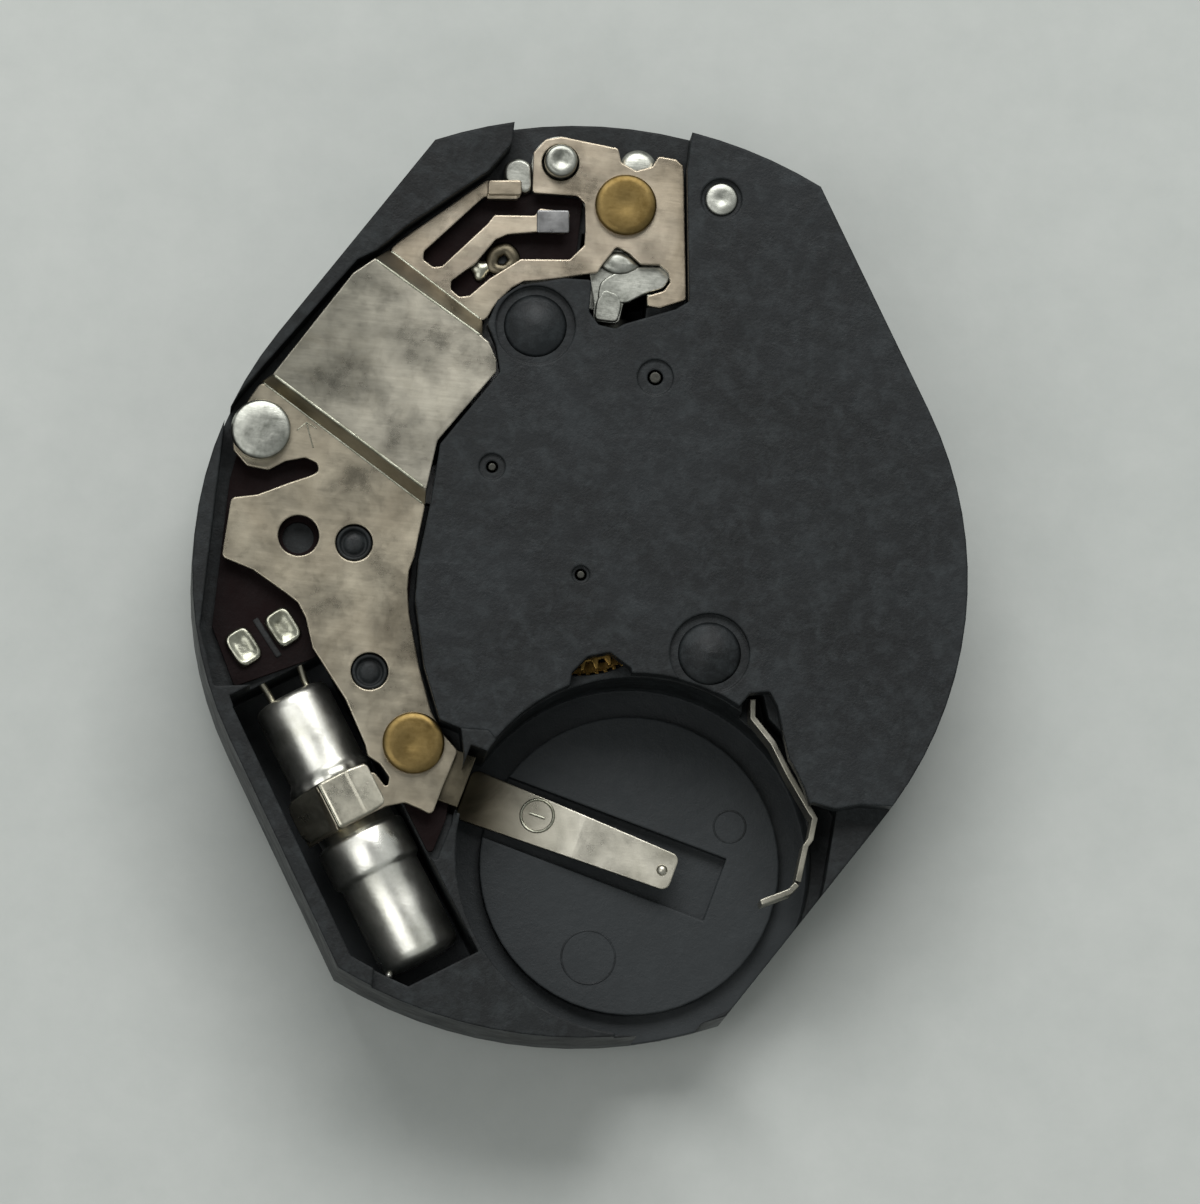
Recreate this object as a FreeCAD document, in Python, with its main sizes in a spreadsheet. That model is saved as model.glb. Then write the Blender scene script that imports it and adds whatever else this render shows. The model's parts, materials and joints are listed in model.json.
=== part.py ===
"""Quartz watch movement, battery side up, in millimetres.

The origin is the hand axis on the plane where the dial sits. +Z points to the battery side, +Y along
the long axis towards the stem. Every sub-part is its own object, and its sizes come from the sheet.
"""
import FreeCAD, Part
import math
import os
import re

doc = FreeCAD.newDocument("quartz_watch_movement")
sheet = doc.addObject("Spreadsheet::Sheet", "Sizes")

# Driving dimensions: alias, millimetres or counts, what it is
SIZES = [
    ("plate_side_radius", 6.37, "round sides and distance of the four flats"),
    ("plate_end_radius", 7.60, "round ends, stem side and cell side"),
    ("flat_angle", 58.0, "degrees from the long axis to each flat's normal"),
    ("plate_height", 2.45, "dial seat to the top of the plate and bridge"),
    ("bridge_seat", 2.05, "underside of the train bridge"),
    ("module_floor", 1.70, "shelf that carries the circuit board"),
    ("board_thickness", 0.12, "circuit board"),
    ("cover_gap", 0.16, "board top to cover underside"),
    ("cover_thickness", 0.12, "module cover sheet"),
    ("cover_rise", 0.27, "how far the coil box stands over the sheet"),
    ("web_bottom", 0.60, "underside of the plate's web, over the motion work"),
    ("web_top", 0.86, "floor of the train space"),
    ("running_gap", 0.04, "radial clearance of shafts and pipes"),
    ("edge_gap", 0.05, "clearance round flat pieces in their pockets"),
    ("wheel_gap", 0.05, "clearance round wheels in their pockets"),
    ("cell_x", 1.42, "cell cavity axis"),
    ("cell_y", -4.46, "cell cavity axis"),
    ("cavity_radius", 2.95, "cell cavity wall"),
    ("cavity_floor", 0.20, "channel round the seat that carries the cell"),
    ("disc_radius", 2.48, "round seat that carries the cell"),
    ("disc_top", 0.45, "top of the round seat"),
    ("relief_depth", 0.22, "slot that takes the pressed contact strip"),
    ("rim_width", 0.27, "outer rim beside the crystal"),
    ("low_edge_right", 1.92, "plate top to the right of the cell"),
    ("low_edge_left", 2.20, "plate top to the left of the cell"),
    ("stem_height", 0.95, "stem axis over the dial seat"),
    ("stem_radius", 0.45, "stem hole"),
    ("stem_hole_end", 5.75, "inner end of the stem hole along +Y"),
    ("dial_recess", 0.12, "thickness of the dial-side plate"),
    ("foot_radius", 0.35, "dial foot holes"),
    ("foot_depth", 0.46, "dial foot holes"),
    ("foot_reach", 5.20, "dial foot holes from the hand axis"),
    ("foot_angle", 12.0, "degrees of the dial foot holes from the X axis"),
    ("post_tip_hour", 0.45, "hour pipe under the dial seat"),
    ("post_tip_minute", 0.85, "minute pipe under the dial seat"),
    ("post_tip_seconds", 1.15, "seconds staff under the dial seat"),
    ("hour_radius", 0.60, "hour pipe outside, where the hand sits"),
    ("hour_hub", 0.77, "hub of the hour wheel over the hand's seat"),
    ("minute_radius", 0.35, "minute pipe outside"),
    ("seconds_radius", 0.10, "seconds staff"),
    ("seat_step", 0.02, "radial step at the end of each hand's seat"),
    ("minute_seat_length", 0.35, "seat of the minute hand"),
    ("seconds_seat_length", 0.25, "seat of the seconds hand"),
    ("wheel_thickness", 0.10, "train wheels"),
    ("pinion_leaf_width", 0.22, "pinions along their axes"),
    ("staff_radius", 0.09, "train staffs"),
    ("pivot_radius", 0.06, "train pivots"),
    ("pivot_top", 2.38, "upper ends of the pivots"),
    ("pivot_sink", 0.10, "how deep the lower pivots run into the web"),
    ("centre_module", 0.048, "centre wheel and third pinion"),
    ("third_module", 0.0509, "third wheel and seconds pinion"),
    ("seconds_module", 0.072, "seconds wheel and intermediate pinion"),
    ("rotor_module", 0.048, "intermediate wheel and rotor pinion"),
    ("minute_module", 0.0708, "cannon pinion, minute wheel and setting wheel"),
    ("hour_module", 0.068, "hour wheel and minute pinion"),
    ("third_angle", 30.0, "degrees, direction of the third wheel from the hand axis"),
    ("motion_angle", 76.0, "degrees, direction of the minute and setting wheels"),
    ("rotor_x", -1.65, "rotor axis"),
    ("rotor_y", 1.60, "rotor axis"),
    ("magnet_radius", 0.42, "rotor magnet"),
    ("magnet_height", 0.46, "rotor magnet"),
    ("rotor_hole", 0.52, "hole in the stator"),
    ("stator_ring", 0.78, "stator round the rotor"),
    ("stator_thickness", 0.20, "stator"),
    ("coil_x", -3.53, "coil centre"),
    ("coil_y", 3.03, "coil centre"),
    ("coil_height", 1.25, "coil axis over the dial seat"),
    ("coil_length", 2.20, "winding"),
    ("coil_radius", 0.76, "winding"),
    ("core_length", 3.60, "coil core with its two ends"),
    ("core_width", 0.50, "coil core"),
    ("core_thickness", 0.30, "coil core"),
    ("crystal_gap", 0.365, "clearance between the crystal can and the outer rim"),
    ("crystal_angle", -56.6, "degrees, direction of the can from the X axis"),
    ("crystal_length", 4.90, "crystal can"),
    ("crystal_radius", 0.70, "crystal can"),
    ("crystal_height", 1.18, "can axis over the dial seat"),
    ("strap_drop", 0.50, "how far the strap's free end bends down beside the can"),
    ("band_radius", 0.76, "swaged band on the can"),
    ("band_length", 0.70, "swaged band on the can"),
    ("band_start", 0.45, "swaged band from the middle of the can"),
    ("lead_radius", 0.06, "crystal leads"),
    ("lead_pitch", 0.62, "distance between the two leads"),
    ("lead_room", 0.33, "space for the leads past the end of the can"),
    ("dome_radius", 0.52, "heads of the plastic bridge rivets"),
    ("dome_height", 0.16, "heads of the plastic bridge rivets"),
    ("rivet_radius", 0.34, "shanks of the plastic bridge rivets"),
    ("rivet_low", 1.10, "lower ends of the rivets' shanks"),
    ("rivet_dish", 0.66, "dishes round the rivets' heads"),
    ("dish_depth", 0.10, "dishes round the rivets' heads"),
    ("brass_radius", 0.51, "heads of the brass pins"),
    ("brass_height", 0.15, "heads of the brass pins"),
    ("brass_shank", 0.20, "shanks of the brass pins"),
    ("brass_low", 1.50, "lower ends of the brass pins"),
    ("stud_radius", 0.27, "steel studs"),
    ("stud_low", 1.30, "lower ends of the steel studs"),
    ("collar_radius", 0.49, "head of the module stud"),
    ("collar_height", 0.24, "head of the module stud"),
    ("peg_radius", 0.30, "plastic pegs through the cover"),
    ("peg_low", 1.20, "lower ends of the plastic pegs"),
    ("test_hole", 0.34, "hole in the cover over the test point"),
    ("test_well", 0.26, "hole in the board under it"),
    ("chip_side", 0.80, "square driver chip"),
    ("pad_length", 0.62, "solder on the board's pads"),
    ("pad_width", 0.46, "solder on the board's pads"),
    ("pad_height", 0.13, "solder on the board's pads"),
    ("pad_reach", 1.00, "pads from the end of the can"),
    ("pad_aside", 0.365, "pads from the can's axis"),
    ("lever_thickness", 0.16, "setting lever"),
    ("yoke_thickness", 0.16, "yoke"),
    ("yoke_bore", 0.14, "yoke pivot hole"),
    ("pinion_length", 0.80, "sliding pinion"),
    ("pinion_radius", 0.55, "sliding pinion"),
    ("pinion_end", 4.10, "inner end of the sliding pinion along +Y"),
    ("pinion_bore", 0.22, "sliding pinion hole"),
    ("groove_width", 0.28, "groove for the yoke"),
    ("groove_radius", 0.30, "groove for the yoke"),
    ("contact_thickness", 0.09, "cell contact strips"),
    ("side_contact_low", 1.24, "lower edge of the positive contact strip"),
    ("side_contact_height", 0.74, "positive contact strip along +Z"),
]

# Tooth counts of the train, from the rotor to the hour wheel
ROTOR_LEAVES = 8
INTERMEDIATE_TEETH = 48
INTERMEDIATE_LEAVES = 8
SECONDS_TEETH = 40
SECONDS_LEAVES = 8
THIRD_TEETH = 60
THIRD_LEAVES = 8
CENTRE_TEETH = 64
CANNON_LEAVES = 12
MINUTE_TEETH = 36
MINUTE_LEAVES = 10
HOUR_TEETH = 40
SETTING_TEETH = 15
CROWN_TEETH = 14

for row, (alias, number, note) in enumerate(SIZES, start=1):
    sheet.set(f"A{row}", alias)
    sheet.set(f"B{row}", str(number))
    sheet.set(f"C{row}", note)
    sheet.setAlias(f"B{row}", alias)
doc.recompute()

ALIASES = {alias for alias, number, note in SIZES}
subparts = []


# Small helpers for values, bound properties and finished sub-parts
def size(alias):
    return float(sheet.get(alias))


def bind(item, prop, formula):
    """Tie a property to the sheet; the formula uses the aliases as plain words."""
    words = re.sub(
        r"[a-z_]+",
        lambda found: "Sizes." + found.group() if found.group() in ALIASES else found.group(),
        formula,
    )
    item.setExpression(prop, words)


def bind_base(item, x, y, z):
    for letter, formula in zip("xyz", (x, y, z)):
        bind(item, "Placement.Base." + letter, formula)


def finish(item, label):
    item.Label = label
    subparts.append(item)
    return item


# Part primitives and booleans
def cylinder(name, radius, height, x="0", y="0", z="0"):
    item = doc.addObject("Part::Cylinder", name)
    bind(item, "Radius", radius)
    bind(item, "Height", height)
    bind_base(item, x, y, z)
    return item


def lying_cylinder(name, radius, length, start, angle, tilt=90.0):
    """A cylinder along the direction at this angle from X, from a start of three formulas."""
    item = doc.addObject("Part::Cylinder", name)
    bind(item, "Radius", radius)
    bind(item, "Height", length)
    item.Placement.Rotation = FreeCAD.Rotation(angle, tilt, 0)
    bind_base(item, *start)
    return item


def box(name, length, width, height, x, y, z):
    """An upright box from its low corner's formulas."""
    item = doc.addObject("Part::Box", name)
    bind(item, "Length", length)
    bind(item, "Width", width)
    bind(item, "Height", height)
    bind_base(item, x, y, z)
    return item


def turned_box(name, length, width, height, centre, z, angle):
    """A box whose length runs at this angle from X, centred on a point in plan."""
    item = doc.addObject("Part::Box", name)
    bind(item, "Length", length)
    bind(item, "Width", width)
    bind(item, "Height", height)
    item.Placement.Rotation = FreeCAD.Rotation(FreeCAD.Vector(0, 0, 1), angle)
    c = f"{math.cos(math.radians(angle)):.6f}"
    s = f"{math.sin(math.radians(angle)):.6f}"
    bind_base(
        item,
        f"{centre[0]} - ({length}) / 2 * ({c}) + ({width}) / 2 * ({s})",
        f"{centre[1]} - ({length}) / 2 * ({s}) - ({width}) / 2 * ({c})",
        z,
    )
    return item


def fuse(name, *items):
    item = doc.addObject("Part::MultiFuse", name)
    item.Shapes = list(items)
    item.Refine = True
    return item


def common(name, *items):
    item = doc.addObject("Part::MultiCommon", name)
    item.Shapes = list(items)
    return item


def cut(name, base, *tools):
    tool = tools[0] if len(tools) == 1 else fuse(name + "_tools", *tools)
    item = doc.addObject("Part::Cut", name)
    item.Base = base
    item.Tool = tool
    item.Refine = True
    return item


def compound(name, *items):
    item = doc.addObject("Part::Compound", name)
    item.Links = list(items)
    return item


def feature(name, shape, x=0.0, y=0.0, z=0.0):
    item = doc.addObject("Part::Feature", name)
    item.Shape = shape
    item.Placement = FreeCAD.Placement(FreeCAD.Vector(x, y, z), FreeCAD.Rotation())
    return item


# Flat pieces cut from sheet: a sketch of straight runs with rounded corners, padded
def vector(point):
    return FreeCAD.Vector(point[0], point[1], 0)


def outline_edges(points, corner):
    """Lines and corner arcs through the points; each corner radius shrinks where a side is short."""
    count = len(points)
    starts, ends, arcs = [], [], []
    for i in range(count):
        here = vector(points[i])
        to_last = vector(points[i - 1]) - here
        to_next = vector(points[(i + 1) % count]) - here
        half = to_last.getAngle(to_next) / 2
        reach = min(corner / math.tan(half), 0.45 * to_last.Length, 0.45 * to_next.Length)
        middle_reach = reach * math.tan(half) * (1 / math.sin(half) - 1)
        to_last.normalize()
        to_next.normalize()
        first = here + to_last * reach
        second = here + to_next * reach
        inward = to_last + to_next
        if math.pi - 2 * half < math.radians(2):
            starts.append(here)
            ends.append(here)
            arcs.append(None)
            continue
        inward.normalize()
        ends.append(first)
        starts.append(second)
        arcs.append(Part.Arc(first, here + inward * middle_reach, second))
    edges = []
    for i in range(count):
        if arcs[i]:
            edges.append(arcs[i])
        edges.append(Part.LineSegment(starts[i], ends[(i + 1) % count]))
    return edges


def outline_face(points, corner=0.06):
    wire = Part.Wire([edge.toShape() for edge in outline_edges(points, corner)])
    return Part.Face(wire)


def sheet_piece(name, points, thickness, height, corner=0.06):
    """A body padded from one closed outline, from this height over the dial seat."""
    body = doc.addObject("PartDesign::Body", name)
    sketch = body.newObject("Sketcher::SketchObject", name + "_outline")
    plane = [part for part in body.Origin.OriginFeatures if part.Role == "XY_Plane"][0]
    sketch.AttachmentSupport = [(plane, "")]
    sketch.MapMode = "FlatFace"
    bind(sketch, "AttachmentOffset.Base.z", height)
    sketch.addGeometry(outline_edges(points, corner), False)
    pad = body.newObject("PartDesign::Pad", name + "_pad")
    pad.Profile = sketch
    bind(pad, "Length", thickness)
    body.Tip = pad
    return body


def pocket_tool(name, points, low, high, corner=0.06, gap=None):
    """A cutter that clears a flat piece's outline by the edge gap."""
    face = outline_face(points, corner)
    grown = face.makeOffset2D(size("edge_gap") if gap is None else gap)
    return feature(name, grown.extrude(FreeCAD.Vector(0, 0, high - low)), 0, 0, low)


# Plan positions of the train, from tooth counts and modules
def polar(radius, degrees):
    return (radius * math.cos(math.radians(degrees)), radius * math.sin(math.radians(degrees)))


def circles_meet(point_of):
    """Where two circles round two points meet, on the left of the line between them."""
    (ax, ay), ra, (bx, by), rb = point_of
    span = math.hypot(bx - ax, by - ay)
    along = (ra ** 2 - rb ** 2 + span ** 2) / (2 * span)
    aside = math.sqrt(ra ** 2 - along ** 2)
    ux, uy = (bx - ax) / span, (by - ay) / span
    return (ax + along * ux + aside * uy, ay + along * uy - aside * ux)


def centre_distance(module, teeth_a, teeth_b):
    return size(module) * (teeth_a + teeth_b) / 2


CENTRE = (0.0, 0.0)
ROTOR = (size("rotor_x"), size("rotor_y"))
THIRD = polar(centre_distance("centre_module", CENTRE_TEETH, THIRD_LEAVES), size("third_angle"))
INTERMEDIATE = circles_meet((
    CENTRE,
    centre_distance("seconds_module", SECONDS_TEETH, INTERMEDIATE_LEAVES),
    ROTOR,
    centre_distance("rotor_module", INTERMEDIATE_TEETH, ROTOR_LEAVES),
))
MINUTE_REACH = centre_distance("minute_module", CANNON_LEAVES, MINUTE_TEETH)
MINUTE = polar(MINUTE_REACH, size("motion_angle"))
SETTING = polar(
    MINUTE_REACH + centre_distance("minute_module", MINUTE_TEETH, SETTING_TEETH),
    size("motion_angle"),
)


def direction(a, b):
    return math.atan2(b[1] - a[1], b[0] - a[0])


def phase_of(angle, phase, teeth, next_teeth):
    """Angle of one tooth of the next wheel, so that it meshes with a wheel of this phase."""
    return angle + math.pi - teeth / next_teeth * (phase - angle) - math.pi / next_teeth


def toothed_disc(teeth, module, thickness, bore, phase=0.0):
    """A wheel or pinion with straight-sided teeth, a little thinner than the space they run in."""
    pitch_radius = module * teeth / 2
    tip = pitch_radius + 0.85 * module
    root = pitch_radius - 1.15 * module
    points = []
    for tooth in range(teeth):
        middle = phase + 2 * math.pi * tooth / teeth
        step = 2 * math.pi / teeth
        for radius, share in ((root, -0.27), (tip, -0.11), (tip, 0.11), (root, 0.27)):
            angle = middle + share * step
            points.append(FreeCAD.Vector(radius * math.cos(angle), radius * math.sin(angle), 0))
    disc = Part.Face(Part.makePolygon(points + points[:1]))
    solid = disc.extrude(FreeCAD.Vector(0, 0, thickness))
    if bore:
        solid = solid.cut(Part.makeCylinder(bore, thickness))
    return solid


def windows(shape, count, inner, outer, thickness):
    """Cut the openings between a wheel's spokes."""
    for turn in range(count):
        x, y = polar((inner + outer) / 2, 360 / count * (turn + 0.5))
        hole = Part.makeCylinder((outer - inner) / 2, thickness, FreeCAD.Vector(x, y, 0))
        shape = shape.cut(hole)
    return shape


def staff(steps, place):
    """A turned staff: (radius, lower height, upper height) of each step."""
    solid = None
    for radius, low, high in steps:
        step = Part.makeCylinder(radius, high - low, FreeCAD.Vector(place[0], place[1], low))
        solid = step if solid is None else solid.fuse(step)
    return solid


# Heights of the train over the dial seat
WHEEL = size("wheel_thickness")
LEAF = size("pinion_leaf_width")
CENTRE_LEVEL = size("web_top") + 0.08
THIRD_LEVEL = CENTRE_LEVEL + 0.36
SECONDS_LEVEL = THIRD_LEVEL + 0.30
INTERMEDIATE_LEVEL = SECONDS_LEVEL + 0.22
STATOR_LEVEL = size("coil_height") + size("core_thickness") / 2
COVER_LEVEL = size("module_floor") + size("board_thickness") + size("cover_gap")
COVER_LEVEL_FORMULA = "module_floor + board_thickness + cover_gap"
HOUR_LEVEL = size("dial_recess") + 0.03
MINUTE_LEVEL = HOUR_LEVEL + 0.19
PIVOT_LOW = size("web_top") - size("pivot_sink")

# Edge shared by the train bridge and the module space, from the stem side to the cell
BRIDGE_EDGE = [
    (1.02, 8.40), (0.98, 6.93), (1.26, 4.72), (1.05, 4.56), (0.25, 4.22), (0.10, 4.12),
    (-0.18, 4.15), (-0.36, 4.35), (-0.38, 4.88), (-0.84, 4.85), (-1.21, 4.74), (-1.56, 4.64),
    (-1.88, 4.36), (-2.00, 3.95), (-1.82, 3.62), (-1.70, 3.18), (-2.54, 1.87), (-2.58, 0.95),
    (-2.67, -0.06), (-2.65, -0.73), (-2.38, -1.80), (-2.02, -2.66), (-1.66, -2.76),
]
BRIDGE_REST = [(-1.20, -2.74), (0.0, -4.0), (3.4, -4.0), (4.20, -3.28), (4.58, -3.35), (4.97, -3.23),
               (7.5, -3.05), (8.4, 0.0), (8.4, 8.4)]
MODULE_REST = [
    (-1.55, -3.20), (-1.62, -4.30), (-1.80, -4.95), (-2.60, -4.60), (-4.10, -2.30), (-5.75, -2.55),
    (-6.10, -1.60), (-6.10, 1.90), (-5.92, 2.30), (-4.25, 4.75), (-3.95, 4.95), (-3.50, 5.42),
    (-2.26, 6.50), (-1.94, 7.00), (-1.94, 8.40),
]
RIVETS = [(-1.21, 4.02), (2.25, -1.04)]
PEGS = [(-3.75, 0.12), (-3.25, -1.96)]
BRASS_PINS = [(0.05, 6.24), (-2.40, -3.06)]
LEVER_STUD = (-1.10, 6.83)
MODULE_STUD = (-5.49, 1.78)
BRIDGE_PIN = (1.60, 6.49)
TEST_HOLE = (-4.67, 0.13)
YOKE_PIVOT = (-1.86, 5.13)
COIL_ANGLE = size("flat_angle")
CONTACT_ANGLE = -14.0
CONTACT_ROOT = (-1.62, -3.62)
SIDE_CONTACT = [(3.02, -1.66), (3.06, -1.98), (3.44, -2.36), (3.76, -2.85), (4.17, -3.40),
                (4.25, -3.49), (4.22, -3.83), (4.15, -3.95), (4.09, -4.55)]
SIDE_TIP = [(4.088, -4.57), (3.99, -4.70), (3.55, -4.93)]
SIDE_ROOM = [(2.90, -1.56), (3.22, -1.56), (3.36, -1.95), (3.70, -2.24), (4.06, -2.72),
             (4.52, -3.16), (4.64, -3.34), (4.62, -3.75), (4.58, -4.50), (4.50, -5.12), (4.00, -5.12),
             (4.00, -3.60), (3.30, -2.70), (2.90, -2.10)]
CHIP = (-4.05, -1.25)


def crystal_place():
    """Middle of the can: beside the lower left flat's rim, its lower end against the round end's rim."""
    across = size("plate_side_radius") - size("rim_width") - size("crystal_gap") - size("crystal_radius")
    rim = size("plate_end_radius") - size("rim_width")
    along = math.sqrt(rim ** 2 - (across + size("crystal_radius")) ** 2) - size("crystal_length") / 2
    normal = math.radians(270 - size("flat_angle"))
    return (across * math.cos(normal) - along * math.sin(normal),
            across * math.sin(normal) + along * math.cos(normal))


CRYSTAL = crystal_place()


def on_crystal(along, aside):
    """Plan position of a point given along and across the can, from its middle."""
    x, y = polar(1, size("crystal_angle"))
    return (CRYSTAL[0] + along * x - aside * y, CRYSTAL[1] + along * y + aside * x)


PADS = [on_crystal(-size("crystal_length") / 2 - size("pad_reach"), side * size("pad_aside"))
        for side in (-1, 1)]


def formulas(point):
    return (f"{point[0]:.4f}", f"{point[1]:.4f}")


def contact_point(along, aside):
    """Plan position of a point given along and across the negative contact strip."""
    x, y = polar(1, CONTACT_ANGLE)
    return (CONTACT_ROOT[0] + along * x - aside * y, CONTACT_ROOT[1] + along * y + aside * x)


# Outline of the movement: round ends and sides joined by four flats
def movement_blank(name, low, height, inset="0"):
    ends = cylinder(name + "_ends", f"plate_end_radius - {inset}", height, z=low)
    sides = cylinder(name + "_sides", f"plate_side_radius - {inset}", height, z=low)
    middle = box(
        name + "_middle",
        "2 * plate_side_radius * sin(flat_angle * 1deg)", "4 * plate_end_radius", height,
        "-plate_side_radius * sin(flat_angle * 1deg)", "-2 * plate_end_radius", low,
    )
    slabs = []
    for side, sign in (("left", 1), ("right", -1)):
        slab = turned_box(
            f"{name}_flats_{side}", "4 * plate_end_radius", f"2 * (plate_side_radius - {inset})",
            height, ("0", "0"), low, sign * size("flat_angle"),
        )
        slabs.append(slab)
    return common(name, ends, fuse(name + "_width", sides, middle), *slabs)


# Openings that the train, the motion work and the setting work need in the plate
def round_space(name, place, radius, low, high):
    return feature(name, Part.makeCylinder(radius, high - low), place[0], place[1], low)


def wheel_radius(module, teeth):
    return size(module) * (teeth / 2 + 0.85)


STATOR_OUTLINE = [
    (-4.78, 1.85), (-4.62, 1.22), (-3.60, 0.98), (-2.30, 0.98), (-1.75, 0.86), (-1.15, 1.05),
    (-0.93, 1.60), (-1.15, 2.45), (-1.50, 3.20), (-1.85, 4.05), (-2.45, 4.78), (-3.00, 4.62),
    (-2.85, 4.12), (-2.46, 3.84), (-2.14, 3.10), (-2.05, 2.15), (-2.60, 1.60), (-3.45, 1.56),
    (-4.10, 1.98), (-4.45, 2.05),
]
LEVER_OUTLINE = [
    (-1.42, 6.80), (-1.24, 6.52), (-0.76, 6.42), (-0.57, 6.10), (-0.50, 5.40), (-0.40, 5.05),
    (-0.28, 4.60), (-0.26, 4.30), (0.16, 4.30), (0.20, 4.62), (0.30, 4.95), (0.42, 5.22),
    (0.30, 5.40), (0.02, 5.54), (-0.20, 5.50), (-0.24, 6.05), (-0.36, 6.60), (-0.75, 6.95),
    (-1.10, 7.13), (-1.38, 7.05),
]
YOKE_OUTLINE = [
    (-2.16, 5.10), (-2.05, 4.88), (-1.75, 4.82), (-1.00, 4.70), (-0.17, 4.48), (0.17, 4.48),
    (0.17, 4.72), (-0.90, 4.98), (-1.55, 5.30), (-1.85, 5.44), (-2.08, 5.34),
]
YOKE_SWEEP = [YOKE_PIVOT, (-1.70, 4.70), (0.30, 3.95), (0.30, 4.80)]
LEVER_FOOT_ROOM = [(-0.50, 4.16), (0.62, 4.16), (0.78, 5.50), (-0.50, 5.50)]
LOW_RIGHT = [(3.20, -3.28), (4.58, -3.35), (4.97, -3.23), (7.50, -3.05), (7.50, -8.00),
             (1.42, -8.00), (1.42, -6.60)]
LOW_LEFT = [(-1.95, -4.12), (-1.40, -4.12), (-1.00, -5.60), (1.42, -6.60), (1.42, -8.40),
            (-2.62, -8.40), (-2.62, -6.60)]


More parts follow.
